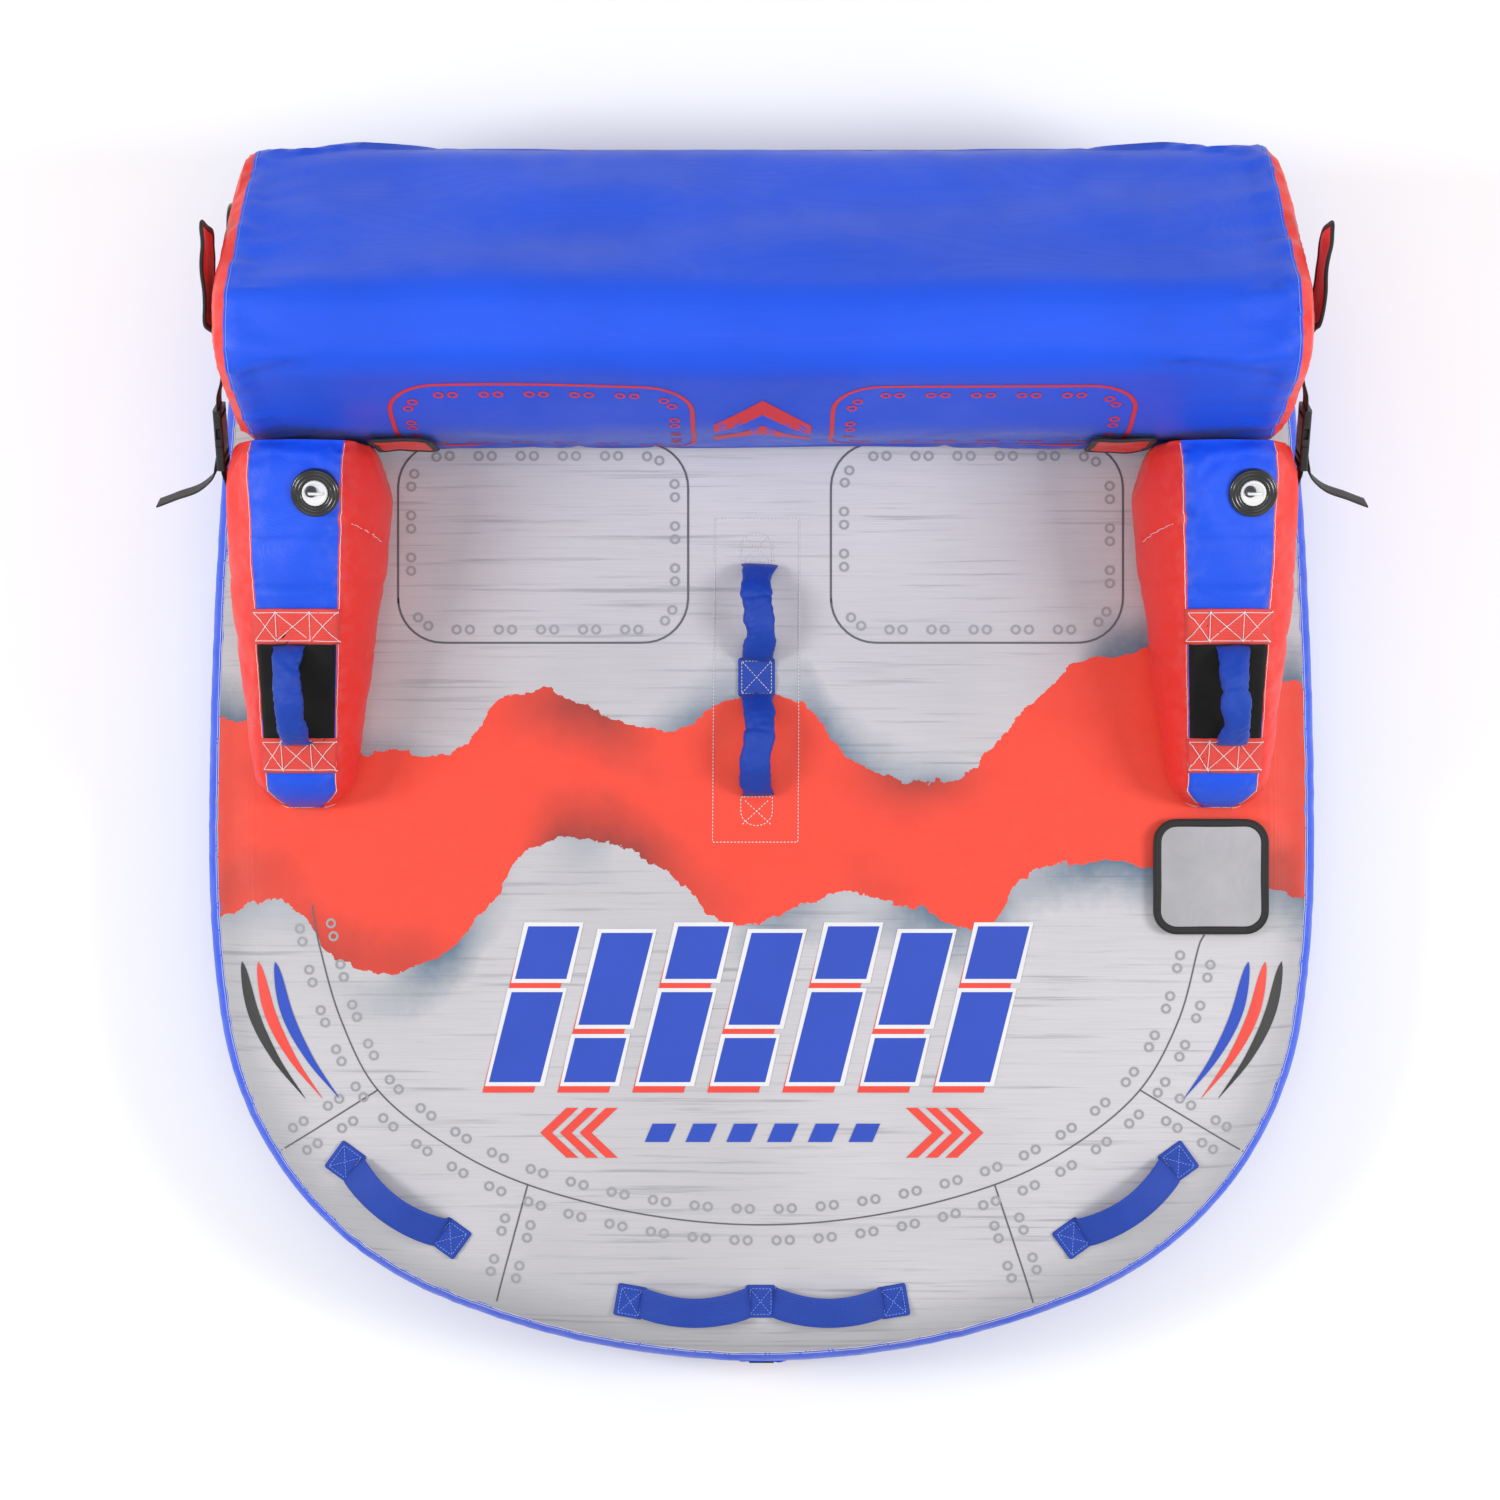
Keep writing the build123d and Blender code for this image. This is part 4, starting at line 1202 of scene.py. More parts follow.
def deck_graphics():
    """Plain slanted bars, dashes, arrows and side slashes, in the print's colours."""
    lifts = (0.0012, 0.0008, 0.0010, 0.0009)
    blue, red, white, black = (Print(deck_tree, DOWN, on_deck, lift) for lift in lifts)
    low, high, lean = -0.505, -0.268, 0.060
    left, pitch, width = -0.415, 0.114, 0.078
    for k in range(7):
        x = left + k * pitch
        top = high - 0.010 * (k % 2)
        cut = low + (top - low) * (0.34 if k % 2 else 0.62)
        for y0, y1 in ((low, cut - 0.010), (cut + 0.010, top)):
            s0, s1 = lean * (y0 - low) / (high - low), lean * (y1 - low) / (high - low)
            corners = [(x + s0, y0), (x + width + s0, y0), (x + width + s1, y1), (x + s1, y1)]
            blue.quad(corners)
            white.quad([(px + (0.006 if i in (1, 2) else -0.006), py + (0.006 if i > 1 else -0.006))
                        for i, (px, py) in enumerate(corners)])
            red.quad([(px - 0.010, py - 0.016) for px, py in corners])
    for side in (-1, 1):
        for k in range(3):
            tip = side * (0.215 + 0.030 * k)
            for up in (-1, 1):
                y0, y1 = -0.582, -0.582 + up * 0.038
                a, b = (tip + side * 0.044, y0), (tip + side * 0.062, y0)
                c, d = (tip + side * 0.022, y1), (tip + side * 0.004, y1)
                red.quad([a, b, c, d])
    for k in range(6):
        x = -0.178 + k * 0.062
        blue.quad([(x, -0.596), (x + 0.036, -0.596), (x + 0.048, -0.568), (x + 0.012, -0.568)])
    for side in (-1, 1):
        for pen, inset in ((black, 0.0), (red, 0.026), (blue, 0.052)):
            spine = [(side * (x - inset), y) for x, y in SIDE_SLASH]
            pen.blade(spine, 0.017, 4)
    inks = ((blue, "blue"), (red, "band_red"), (white, "white"), (black, "black"))
    for pen, name in inks:
        pen.lay(f"deck_print_{name}", f"ink_{name}", "deck", "deck_print")


def back_print():
    """Panels, rivets and an arrow on the front of the backrest, drawn in (x, z)."""
    pen = Print(back_tree, (0, 1, 0), lambda x, z: (x, 0.47, z), 0.0006)
    top = DECK_T + 0.365
    for x0, x1 in ((-0.530, -0.100), (0.100, 0.530)):
        low, high = (x0, DECK_T + 0.060), (x1, top)
        pen.loop(rectangle(low, high, PANEL_CORNER), 0.0062)
        inner = rectangle([v + 0.026 for v in low], [v - 0.026 for v in high], PANEL_CORNER - 0.026)
        riveted(pen, rounded_polygon(inner, 0.01), 0.0)
    for rise in (0.0, -0.075):
        for side in (-1, 1):
            peak, foot = top - 0.035 + rise, top - 0.110 + rise
            pen.quad([(0.0, peak), (side * 0.070, foot), (side * 0.070, foot - 0.040), (0.0, peak - 0.042)])
    pen.lay("backrest_print", "ink_red", "backrest", "nylon_blue")


deck_lines()
deck_graphics()
back_print()

# ---- Webbing, patches and grips -----------------------------------------------------

UP = np.array([0.0, 0.0, 1.0])


def box_x(matrix, half_x, half_y, lift=0.0):
    """Stitch lines of a box with a cross in it, drawn in a plane and laid where matrix puts it."""
    corners = [(-half_x, -half_y), (half_x, -half_y), (half_x, half_y), (-half_x, half_y)]
    paths = [corners + corners[:1], [corners[0], corners[2]], [corners[1], corners[3]]]
    lines = []
    for path in paths:
        points = [np.array(matrix @ Vector((x, y, lift))) for x, y in path]
        normal = np.array(matrix.to_3x3() @ Vector((0, 0, 1)))
        lines.append((np.array(points), normal))
    return lines


CORNER_SIGNS = [(-1, -1), (1, -1), (1, 1), (-1, 1)]
SLAB_RINGS = [(0.06, 1.0), (0.35, 1.0), (0.7, 1.0), (0.93, 1.0), (0.985, 0.8), (1.0, 0.3), (0.995, 0.0)]


def rounded_outline(width, height, corner, step):
    """A rectangle with rounded corners, centred on the origin."""
    return rounded_polygon([(x * width / 2, y * height / 2, corner) for x, y in CORNER_SIGNS], step)


def rounded_slab(name, matrix, size, corner, material, puff=0.0006):
    """A sewn patch: a thin slab with rounded corners, eased edges and a slight wave."""
    width, length, thick = size
    outline = rounded_outline(width, length, corner, 0.003)
    rings = []
    for share, z in SLAB_RINGS:
        ring = np.c_[outline * share, np.full(len(outline), thick * z)]
        ring[:, 2] += waves(ring[:, :2], 0.018, 41) * puff * (z > 0.5)
        rings.append(ring)
    rings = np.array(rings)
    count = len(outline)
    verts = np.vstack([rings.reshape(-1, 3), [[0, 0, thick]]])
    faces = [f[::-1] for f in grid_faces(len(rings), count, wrap_columns=True)]
    faces += [(len(rings) * count, j, (j + 1) % count) for j in range(count)]
    uvs = verts[:, :2].copy()
    placed = np.array([matrix @ Vector(v) for v in verts])
    return mesh_piece(name, placed, faces, material, uvs)


def join(name, parts):
    """Several meshes made into one piece."""
    bpy.ops.object.select_all(action="DESELECT")
    for part in parts:
        part.select_set(True)
    bpy.context.view_layer.objects.active = parts[0]
    bpy.ops.object.join()
    parts[0].name = name
    return parts[0]


def grip(name, start, end, up, rise, seed, width=0.046, thick=0.018, bend=0.0):
    """A sleeve of gathered nylon over foam, arched between two sewn ends and flared where it is sewn."""
    start, end, up = (np.asarray(v, float) for v in (start, end, up))
    along = unit(end - start)
    side = np.cross(along, up)
    t = np.linspace(0, 1, 72)
    arch = np.sin(pi * t) ** 0.62
    sway = bend * np.sin(2 * pi * t)
    path = start + (end - start) * t[:, None] + up * (rise * arch)[:, None] + side * sway[:, None]
    turns = np.linspace(0, 2 * pi, 40, endpoint=False)
    flare = 1.0 + 0.16 * np.exp(-np.minimum(t, 1 - t) / 0.035)
    flat = 1.0 - 0.72 * np.exp(-np.minimum(t, 1 - t) / 0.06)
    bunch = 1.0 + 0.035 * waves(t[:, None] * 0.16, 0.050, seed)
    sections = []
    for i in range(len(t)):
        c, s = np.cos(turns), np.sin(turns)
        x = np.sign(c) * np.abs(c) ** 0.8 * width / 2 * flare[i] * bunch[i]
        z = np.sign(s) * np.abs(s) ** 0.8 * thick / 2 * flat[i]
        sections.append(np.c_[x, z])

    def wrinkle(rings):
        middle = rings.mean(axis=1, keepdims=True)
        outward = unit(rings - middle)
        fine = waves(rings, 0.011, seed + 1) * 0.00045
        broad = waves(rings, 0.040, seed + 2) * 0.0010
        pinch = -0.0016 * np.exp(-(((t - 0.36) / 0.02) ** 2))
        return outward * (fine + broad + pinch[:, None])[:, :, None]

    piece = sweep(name, path, side, sections, "grip_blue", offset=wrinkle)
    place_sewn(piece, [name.replace("_sleeve", "")])
    return piece


CENTRE_GRIP_RISE = 0.052
ARM_GRIP_RISE = 0.046


def centre_handle():
    rear_low, rear_high, front_low, front_high = 0.137, 0.281, -0.068, 0.084
    top = DECK_T + 0.0035
    for where, start, end, seed, bend in (
        ("rear", (HANDLE_X + 0.004, rear_high, top), (HANDLE_X, rear_low, top), 51, 0.0045),
        ("front", (HANDLE_X, front_high, top), (HANDLE_X + 0.002, front_low, top), 52, -0.0045),
    ):
        body = f"centre_grip_{where}"
        grip(f"{body}_sleeve", start, end, UP, CENTRE_GRIP_RISE, seed, bend=bend)
    middle = Matrix.Translation((HANDLE_X, 0.1105, DECK_T))
    patch = rounded_slab("centre_handle_patch", middle, (0.056, 0.060, 0.0050), 0.004, "webbing_blue")
    place(patch, "deck", ["centre_handle_webbing"])
    stitches("centre_patch_stitches", box_x(middle, 0.0225, 0.0245, lift=0.0052), "thread_white", "deck",
             0.0052, 0.0037)
    lines = []
    for y, flip in ((0.307, 1), (-0.092, -1)):
        half, deep = 0.024, 0.021
        turns = np.linspace(0, pi, 14)
        crown = [(half * cos(a), flip * (0.002 + deep * sin(a))) for a in turns]
        shape = [(half, -flip * deep)] + crown + [(-half, -flip * deep), (half, -flip * deep)]
        cross = [[(-s * half * 0.9, -deep), (s * half * 0.8, deep * 0.8)] for s in (1, -1)]
        for path in [shape] + cross:
            lines.append([(HANDLE_X + px, y + py) for px, py in path])
    x0, x1, y0, y1 = -0.071, 0.053, -0.140, 0.352
    lines.append([(x0 - 0.004, y0), (x1 + 0.002, y0), (x1 + 0.004, y1), (x0, y1), (x0 - 0.004, y0)])
    laid = [cast(deck_tree, [on_deck(*p) for p in resample(line, 0.003)], lift=0.0003) for line in lines]
    stitches("centre_panel_stitches", laid, "thread_white", "deck", 0.0054, 0.0036, 0.00085)


def arm_frame(side, y):
    """Matrix on the arm's sloping top: local +Y up the slope, +Z out of it."""
    h0, h1 = (np.interp(v, [-0.040, 0.215, 0.400], [0.110, 0.205, 0.258]) for v in (y - 0.001, y + 0.001))
    slope = atan2(h1 - h0, 0.002)
    sign = 1 if side == "right" else -1
    return Matrix.Translation((sign * arm_x(y), y, DECK_T + (h0 + h1) / 2)) @ Matrix.Rotation(slope, 4, "X")


def arm_fittings(side):
    tree = arm_trees[side]
    sign = 1 if side == "right" else -1

    def laid(points, lift):
        return cast(tree, points, DOWN, lift=lift)

    # Knuckle pad between the bands.
    ys = np.linspace(BAND_YS[1] - 0.005, BAND_YS[0] + 0.005, 30)
    rows = []
    for y in ys:
        half = arm_top_half(y) - 0.003
        xs = sign * arm_x(y) + np.linspace(-half, half, 16)
        points, _ = laid([(x, y, DECK_T + 0.3) for x in xs], 0.0012)
        rows.append(points)
    rows = np.array(rows)
    faces = grid_faces(*rows.shape[:2])
    pad = mesh_piece(f"arm_{side}_knuckle_cover", rows.reshape(-1, 3), faces, "knuckle_black", grid_uvs(rows))
    solidify(pad, 0.0024, 1.0)
    place(pad, "deck", [f"arm_{side}_knuckle_pad"])

    # Crossbands with box stitching.
    bands, lines = [], []
    for middle in BAND_YS:
        rows = []
        for y in np.linspace(middle - BAND_W / 2, middle + BAND_W / 2, 9):
            half = arm_top_half(y) + 0.001
            xs = sign * arm_x(y) + np.linspace(-half, half, 22)
            points, normals = laid([(x, y, DECK_T + 0.3) for x in xs], 0.0046)
            points = points + normals * (waves(points, 0.03, 61) * 0.0004)[:, None]
            rows.append(points)
        rows = np.array(rows).transpose(1, 0, 2)
        faces = grid_faces(*rows.shape[:2])
        piece = mesh_piece(f"band_{middle}", rows.reshape(-1, 3), faces, "webbing_red", grid_uvs(rows))
        solidify(piece, 0.0022, 1.0)
        bands.append(piece)
        half = arm_top_half(middle)
        cells = [-0.97, -0.46, 0.34, 0.97]
        edge = BAND_W / 2 - 0.005
        paths = [[(-0.97, -edge), (0.97, -edge)], [(-0.97, edge), (0.97, edge)]]
        paths += [[(c, -edge), (c, edge)] for c in cells[1:3]]
        for a, b in zip(cells, cells[1:]):
            paths += [[(a, -edge), (b, edge)], [(a, edge), (b, -edge)]]
        for path in paths:
            points = resample(np.array(path, float) * [half, 1], 0.006)
            above = [(sign * arm_x(middle) + px, middle + py, DECK_T + 0.3) for px, py in points]
            lines.append(laid(above, 0.0050))
    band = join(f"arm_{side}_crossbands", bands)
    place(band, "deck", [f"arm_{side}_bands"])
    stitches(f"arm_{side}_band_stitches", lines, "thread_white", "deck", 0.0052, 0.0038)

    # Wrapped grip along the middle.
    frame_at = arm_frame(side, sum(BAND_YS) / 2)
    shift = 0.006 * sign
    start = np.array(frame_at @ Vector((shift - 0.002, 0.070, 0.0040)))
    end = np.array(frame_at @ Vector((shift + 0.002, -0.079, 0.0085)))
    up = np.array(frame_at.to_3x3() @ Vector((0, 0, 1)))
    body = f"arm_{side}_grip"
    grip(f"{body}_sleeve", start, end, up, ARM_GRIP_RISE, 54 + sign, width=0.042, bend=0.0015)

    # The dart's thread and the hem where the arm is sewn down.
    z = np.linspace(0.208, 0.125, 24)
    dart = [(sign * 0.58, 0.335 - 0.25 * (0.235 - h), DECK_T + h) for h in z]
    hem = [(sign * (arm_x(y) - 0.3), y, DECK_T + 0.008) for y in np.linspace(0.08, -0.070, 40)]
    dart = cast(tree, dart, (sign, 0, 0), lift=0.0)
    hem = cast(tree, hem, (sign, 0, 0), lift=0.0)
    turns = np.linspace(0.15 * pi, 0.85 * pi, 26)
    toe = [(sign * 0.6865 + 0.045 * cos(a), -0.055 - 0.2, DECK_T + 0.012) for a in turns]
    toe = cast(tree, toe, (0, 1, 0), lift=0.0)
    lines = [dart, hem, toe]
    stitches(f"arm_{side}_hem_stitches", lines, "thread_white", "deck", 0.0056, 0.0040)


def nose_handles():
    handles = {
        "nose_strap_left": (-0.101, -0.838, 0),
        "nose_strap_right": (0.101, -0.838, 0),
        "side_strap_left": (-0.553, -0.684, -36),
        "side_strap_right": (0.553, -0.684, 36),
    }
    chord, patch_l = 0.158, 0.042
    patches, lines, placed = [], [], set()
    for name, (x, y, turn) in handles.items():
        at = Matrix.Translation((x, y, DECK_T)) @ Matrix.Rotation(radians(turn), 4, "Z")
        inward = np.array(at.to_3x3() @ Vector((0, 1, 0)))
        t = np.linspace(0, 1, 60)
        lean, rise = -0.013 * np.sin(pi * t) ** 0.8, 0.026 * np.sin(pi * t) ** 0.7
        local = np.c_[(t - 0.5) * (chord + 0.008), lean, 0.0045 + rise]
        path = np.array([at @ Vector(p) for p in local])
        tilt = radians(14) * np.sin(pi * t)
        across = inward * np.cos(tilt)[:, None] + UP * np.sin(tilt)[:, None]
        band = sweep(f"{name}_web", path, across, band_section(0.0478, 0.0026), "webbing_blue")
        place_sewn(band, [name])
        for end in (-1, 1):
            centre = at @ Vector((end * (chord / 2 + patch_l / 2 - 0.001), 0, 0))
            key = (round(centre.x, 2), round(centre.y, 2))
            if key in placed:
                continue
            placed.add(key)
            ground, normal = cast(deck_tree, [tuple(centre)], DOWN, lift=0.0)
            seat = Vector(normal[0]).to_track_quat("Z", "Y").to_matrix().to_4x4()
            seat = Matrix.Translation(ground[0]) @ seat @ Matrix.Rotation(radians(turn), 4, "Z")
            size = (patch_l + 0.003, 0.0500, 0.0042)
            patches.append(rounded_slab("patch", seat, size, 0.003, "webbing_blue"))
            lines += box_x(seat, 0.0160, 0.0195, lift=0.0044)
    patch = join("nose_handle_patches", patches)
    place(patch, "deck", ["bow_handle_patches"])
    stitches("nose_patch_stitches", lines, "thread_blue", "deck", 0.0050, 0.0036, 0.0006)


centre_handle()
for arm_side in ("left", "right"):
    arm_fittings(arm_side)
nose_handles()

# ---- Valves -------------------------------------------------------------------------


def lathe(name, profile, matrix, material, sides=72, ripple=None):
    """A turned shape from (radius, height) pairs, starting and ending on the axis or open."""
    turns = np.linspace(0, 2 * pi, sides, endpoint=False)
    rings = []
    for r, z in profile:
        radius = np.full(sides, r) * (1 + (ripple(turns, r) if ripple else 0))
        rings.append(np.c_[radius * np.cos(turns), radius * np.sin(turns), np.full(sides, z)])
    rings = np.array(rings)
    verts = np.array([matrix @ Vector(v) for v in rings.reshape(-1, 3)])
    faces = grid_faces(len(profile), sides, wrap_columns=True)
    if profile[0][0] > 1e-6:
        faces.append(tuple(reversed(range(sides))))
    if profile[-1][0] > 1e-6:
        faces.append(tuple((len(profile) - 1) * sides + j for j in range(sides)))
    return mesh_piece(name, verts, faces, material)


# Valve profiles, as (radius, height) above the cover.
VALVE_FLANGE = [
    (0.0192, -0.010), (0.0192, 0.0030), (0.0200, 0.0052), (0.0220, 0.0060), (0.0238, 0.0060),
    (0.0242, 0.0054), (0.0250, 0.0054), (0.0254, 0.0060), (0.0296, 0.0057), (0.0300, 0.0050),
    (0.0308, 0.0050), (0.0312, 0.0054), (0.0336, 0.0046), (0.0348, 0.0030), (0.0352, 0.0008),
    (0.0352, -0.0060),
]
VALVE_CAP = [
    (0.0187, -0.008), (0.0187, 0.0040), (0.0184, 0.0060), (0.0172, 0.0072), (0.0150, 0.0074),
    (0.0142, 0.0066), (0.0100, 0.0060), (0.0060, 0.0062), (0.0001, 0.0064),
]
VALVE_STEM = [
    (0.0085, -0.002), (0.0085, 0.0030), (0.0078, 0.0042), (0.0050, 0.0044), (0.0046, 0.0034),
    (0.0001, 0.0034),
]
VALVE_PULL = [(-0.013, 0, 0.0068), (-0.006, 0, 0.0096), (0.006, 0, 0.0096), (0.013, 0, 0.0068)]


def valve(name, matrix, body, cap_body):
    ring = lathe(f"{name}_flange", VALVE_FLANGE, matrix, "valve_black")
    place(ring, body, [f"{name}_ring"])
    knurl = lambda turns, r: 0.012 * np.cos(24 * turns) * (r > 0.018)
    lid = lathe(f"{name}_cap_shell", VALVE_CAP, matrix, "valve_white", sides=144, ripple=knurl)
    place(lid, cap_body, [f"{name}_cap"])
    core_at = matrix @ Matrix.Translation((-0.0050, 0.0030, 0.0056))
    core = lathe(f"{name}_cap_stem", VALVE_STEM, core_at, "valve_core", sides=48)
    place(core, cap_body)
    pull, section = smooth_curve(VALVE_PULL, 0.0015), band_section(0.0042, 0.0022)
    bar = sweep(f"{name}_cap_pull", pull, (0, 1, 0), section, "valve_white")
    bar.data.transform(matrix)
    place(bar, cap_body)


def build_valves():
    middle = box_middle("deck_valve_ring")
    at = Matrix.Translation((middle.x, middle.y, DECK_T))
    valve("deck_valve", at, "deck", "deck_valve_cap")
    for side in ("left", "right"):
        at = arm_frame(side, 0.370)
        turn, spot = at.to_3x3().to_4x4(), at.translation
        at = Matrix.Translation((box_middle(f"arm_{side}_valve_cap").x, spot.y, spot.z)) @ turn
        valve(f"arm_{side}_valve", at, "deck", f"arm_{side}_valve_cap")
    low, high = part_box("backrest_valve_ring")
    at = Matrix.Translation((high.x - 0.022, (low.y + high.y) / 2, (low.z + high.z) / 2))
    at = at @ Matrix.Rotation(-pi / 2, 4, "Y")
    valve("backrest_valve", at, "backrest", "backrest_valve_cap")


build_valves()

# ---- Bound flaps --------------------------------------------------------------------


def bound_flap(name, matrix, size, corner, material, body, nodes, thick=0.0028, edge=0.010):
    """A flat nylon flap with rounded corners and black tape folded round its edge."""
    width, height = size
    outline = rounded_outline(width, height, corner, 0.004)
    levels = np.linspace(0.05, 1.0, 14)
    count = len(outline)

    def shape(flat):
        fine = waves(flat * np.array([1.0, 0.4]), 0.045, 72) * 0.0004
        return np.c_[flat, waves(flat, 0.07, 71) * 0.0007 + fine]

    rings = [shape(outline * share) for share in levels]
    verts = np.vstack(rings + [shape(np.zeros((1, 2)))])
    faces = grid_faces(len(levels), count, wrap_columns=True)
    faces += [(len(levels) * count, (j + 1) % count, j) for j in range(count)]
    placed = np.array([matrix @ Vector(v) for v in verts])
    panel = mesh_piece(name, placed, faces, material, verts[:, :2])
    solidify(panel, thick, 0.0)
    place(panel, body, nodes[:1])
    rim = shape(outline * (1 - edge * 0.25 / max(width, height)))
    tangent = unit(np.roll(rim, -1, axis=0) - np.roll(rim, 1, axis=0))
    inward = unit(np.cross(tangent, [0, 0, 1.0]))
    section = band_section(edge, thick + 0.0024, side=4)
    path = np.array([matrix @ Vector(v) for v in rim])
    rotation = np.array(matrix.to_3x3())
    tape = sweep(f"{name}_tape", path, inward @ rotation.T, section, "binding_black", closed=True)
    place(tape, body, nodes[1:])
    return panel


def axes_matrix(origin, x_axis, y_axis):
    x_axis, y_axis = Vector(x_axis).normalized(), Vector(y_axis).normalized()
    z_axis = x_axis.cross(y_axis)
    return Matrix.Translation(origin) @ Matrix((x_axis, y_axis, z_axis)).transposed().to_4x4()


DECK_FLAP_SIZE = (0.166, 0.166)
ARM_FLAP_SIZE = (0.085, 0.149)
BACK_FLAP_SIZE = (0.147, 0.089)


def build_flaps():
    low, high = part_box("deck_valve_flap_binding")
    middle = (low + high) / 2
    at = Matrix.Translation((middle.x, middle.y, middle.z - 0.0005))
    bound_flap("deck_flap_panel", at, DECK_FLAP_SIZE, 0.030, "flap_print", "deck_flap",
               ["deck_valve_flap", "deck_valve_flap_binding"], edge=0.0125, thick=0.0020)
    low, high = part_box("deck_valve_pocket_rim")
    corners = rectangle((low.x + 0.006, low.y + 0.006), (high.x - 0.006, high.y - 0.006), 0.026)
    ring = rounded_polygon(corners, 0.006)
    path = np.c_[ring, np.full(len(ring), (low.z + high.z) / 2)]
    tangent = unit(np.roll(path, -1, axis=0) - np.roll(path, 1, axis=0))
    section = band_section(0.012, 0.0108, side=6)
    rim = sweep("deck_valve_surround", path, np.cross(tangent, UP), section, "binding_black", closed=True)
    place(rim, "deck", ["deck_valve_pocket_rim"])
    for side, sign in (("right", 1), ("left", -1)):
        low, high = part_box(f"arm_{side}_flap")
        at = axes_matrix((low + high) / 2, (-sign, 0, 0), (0, 0, 1))
        body = f"arm_{side}_flap"
        bound_flap(f"{body}_panel", at, ARM_FLAP_SIZE, 0.014, "flap_red", body, [body])
        low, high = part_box(f"backrest_flap_{side}")
        splay = radians(7 if side == "right" else 2)
        hinge = Vector((sign * 0.788, 0.600, (low.z + high.z) / 2))
        reach = Vector((sign * sin(splay), cos(splay), 0))
        at = axes_matrix(hinge + reach * 0.074, reach, (0, 0, 1))
        body = f"backrest_flap_{side}"
        bound_flap(f"backrest_{side}_flap_panel", at, BACK_FLAP_SIZE, 0.012, "flap_red", body,
                   [body])


build_flaps()

# ---- Side straps --------------------------------------------------------------------


BUCKLE_MIDDLE = (0.795, 0.461, 0.404)
STRAP_RISE = radians(25)
STRAP_WIDTH = 0.0378


def strap_matrix(side):
    """Local X up the strap, local Y outwards, local Z across the strap, from the middle of the buckle."""
    sign = 1 if side == "right" else -1
    x_axis, y_axis = Vector((0, cos(STRAP_RISE), sin(STRAP_RISE))), Vector((sign, 0, 0))
    z_axis = Vector((0, -sin(STRAP_RISE), cos(STRAP_RISE)))
    turn = Matrix((x_axis, y_axis, z_axis)).transposed().to_4x4()
    x, y, z = BUCKLE_MIDDLE
    return Matrix.Translation((sign * x, y, z)) @ turn


def build_straps():
    paths = {
        "upper": [(0.165, -0.0095), (0.120, -0.0095), (0.092, -0.0090), (0.066, -0.0015), (0.040, 0.0)],
        "lower": [(-0.034, 0.0), (-0.052, -0.0005), (-0.074, -0.0055), (-0.105, -0.0062), (-0.146, -0.0062)],
        "tail": [(-0.026, 0.006), (-0.042, 0.0095), (-0.060, 0.0150), (-0.080, 0.038),
                 (-0.092, 0.070), (-0.100, 0.090), (-0.104, 0.101)],
    }
    for side in ("left", "right"):
        at = strap_matrix(side)
        across = np.array(at.to_3x3() @ Vector((0, 0, 1)))
        for part, points in paths.items():
            body = "backrest" if part == "upper" else f"harness_{side}"
            path = np.array([at @ Vector((x, y, 0)) for x, y in smooth_curve(points, 0.003)])
            section = band_section(STRAP_WIDTH, WEB_T)
            piece = sweep(f"side_strap_{part}_{side}", path, across, section, "webbing_black")
            place(piece, body, [f"strap_{part}_{side}"])
        flat = at @ Matrix.Translation((0.148, -0.0078, 0)) @ Matrix.Rotation(-pi / 2, 4, "X")
        lines = box_x(flat, 0.012, 0.0150)
        stitches(f"side_strap_stitches_{side}", lines, "thread_pale", "backrest",
                 0.0050, 0.0036)


build_straps()

# ---- Zips ---------------------------------------------------------------------------


TOOTH_PITCH = 0.0032
TOOTH_R = 0.0010
TOOTH_SIDES = 6


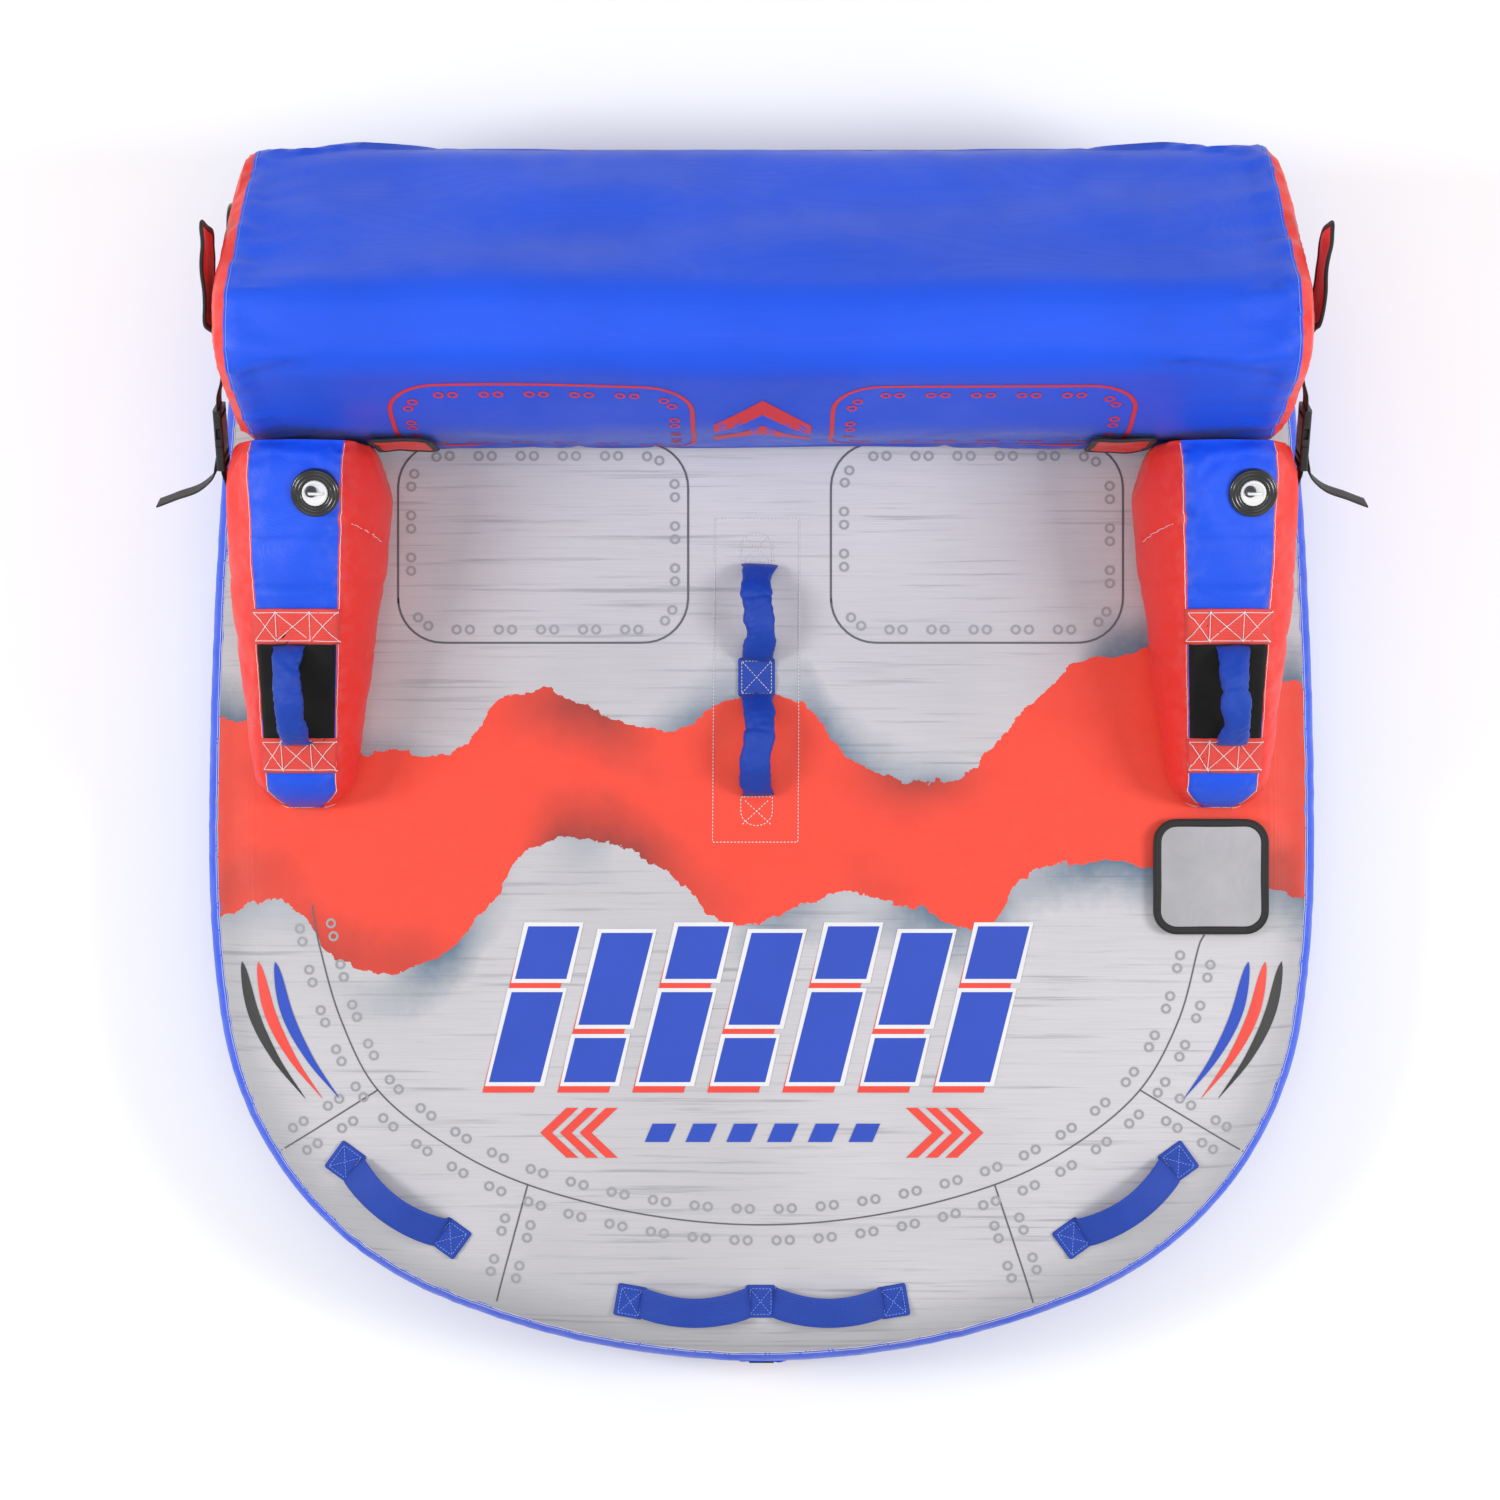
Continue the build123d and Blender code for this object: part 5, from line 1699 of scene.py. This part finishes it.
def zip_teeth(name, middle, length, body, nodes):
    """Woven tape with two interlocked rows of coil loops, on a face that looks along +Y."""
    steps = np.linspace(-length / 2, length / 2, 90)
    path = np.c_[steps, np.full(90, middle.y), np.full(90, middle.z)]
    tape = sweep(f"{name}_fabric", path, (0, 0, 1), band_section(0.030, 0.0010), "binding_black")
    verts, faces = [], []
    sides = TOOTH_SIDES
    turns = np.linspace(0, 2 * pi, sides, endpoint=False)
    count = int((length - 0.03) / TOOTH_PITCH)
    for k in range(count):
        x = -length / 2 + 0.015 + k * TOOTH_PITCH
        lean = 1 if k % 2 else -1
        base = len(verts)
        for s in (-1, -0.4, 0.4, 1):
            for a in turns:
                verts.append((x + TOOTH_R * cos(a), middle.y + 0.0012 + TOOTH_R * sin(a) * (1 - 0.3 * s * s),
                              middle.z + 0.0006 * lean + 0.0026 * s))
        for i in range(3):
            for j in range(sides):
                a, b = base + i * sides + j, base + i * sides + (j + 1) % sides
                faces.append((a, b, b + sides, a + sides))
        faces.append(tuple(base + j for j in reversed(range(sides))))
        faces.append(tuple(base + 3 * sides + j for j in range(sides)))
    coil = mesh_piece(f"{name}_coil", verts, faces, "zip_black")
    place(tape, body, nodes)
    place(coil, body)


for zip_name, zip_body in (("deck", "deck"), ("backrest", "backrest")):
    zip_low, zip_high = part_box(f"{zip_name}_zip_tape")
    zip_middle = Vector((0, zip_low.y + 0.0006, (zip_low.z + zip_high.z) / 2))
    zip_teeth(f"{zip_name}_zip", zip_middle, zip_high.x - zip_low.x, zip_body,
              [f"{zip_name}_zip_tape"])

# ---- Tow point and the CAD pieces that stay -----------------------------------------


def tow_point():
    low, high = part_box("tow_patch")
    face = axes_matrix((0, (low.y + high.y) / 2 + 0.0012, (low.z + high.z) / 2), (1, 0, 0), (0, 0, 1))
    patch = rounded_slab("tow_reinforcement", face, (0.078, 0.046, 0.0032), 0.010, "nylon_blue")
    place(patch, "deck", ["tow_patch"])
    lines = box_x(face, 0.0330, 0.0185, lift=0.0034)
    stitches("tow_patch_stitches", lines, "thread_white", "deck", 0.0052, 0.0037)


tow_point()

KEPT_CAD = {
    "tow_strap": ("webbing_black", 0.0006),
    "tow_connector": ("connector_red", 0.0016),
    "deck_zip_slider": ("zip_metal", 0.0005),
    "backrest_zip_slider": ("zip_metal", 0.0005),
    "buckle_socket_left": ("buckle_black", 0.0012),
    "buckle_socket_right": ("buckle_black", 0.0012),
    "buckle_plug_left": ("buckle_black", 0.0010),
    "buckle_plug_right": ("buckle_black", 0.0010),
}
for node_name, (material_name, edge_radius) in KEPT_CAD.items():
    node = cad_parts[node_name]
    node.data.materials.clear()
    node.data.materials.append(MATERIALS[material_name])
    bevel = node.modifiers.new("edges", "BEVEL")
    bevel.width = edge_radius
    bevel.segments = 3
    bevel.limit_method = "ANGLE"
    bevel.angle_limit = radians(35)

bpy.context.view_layer.update()
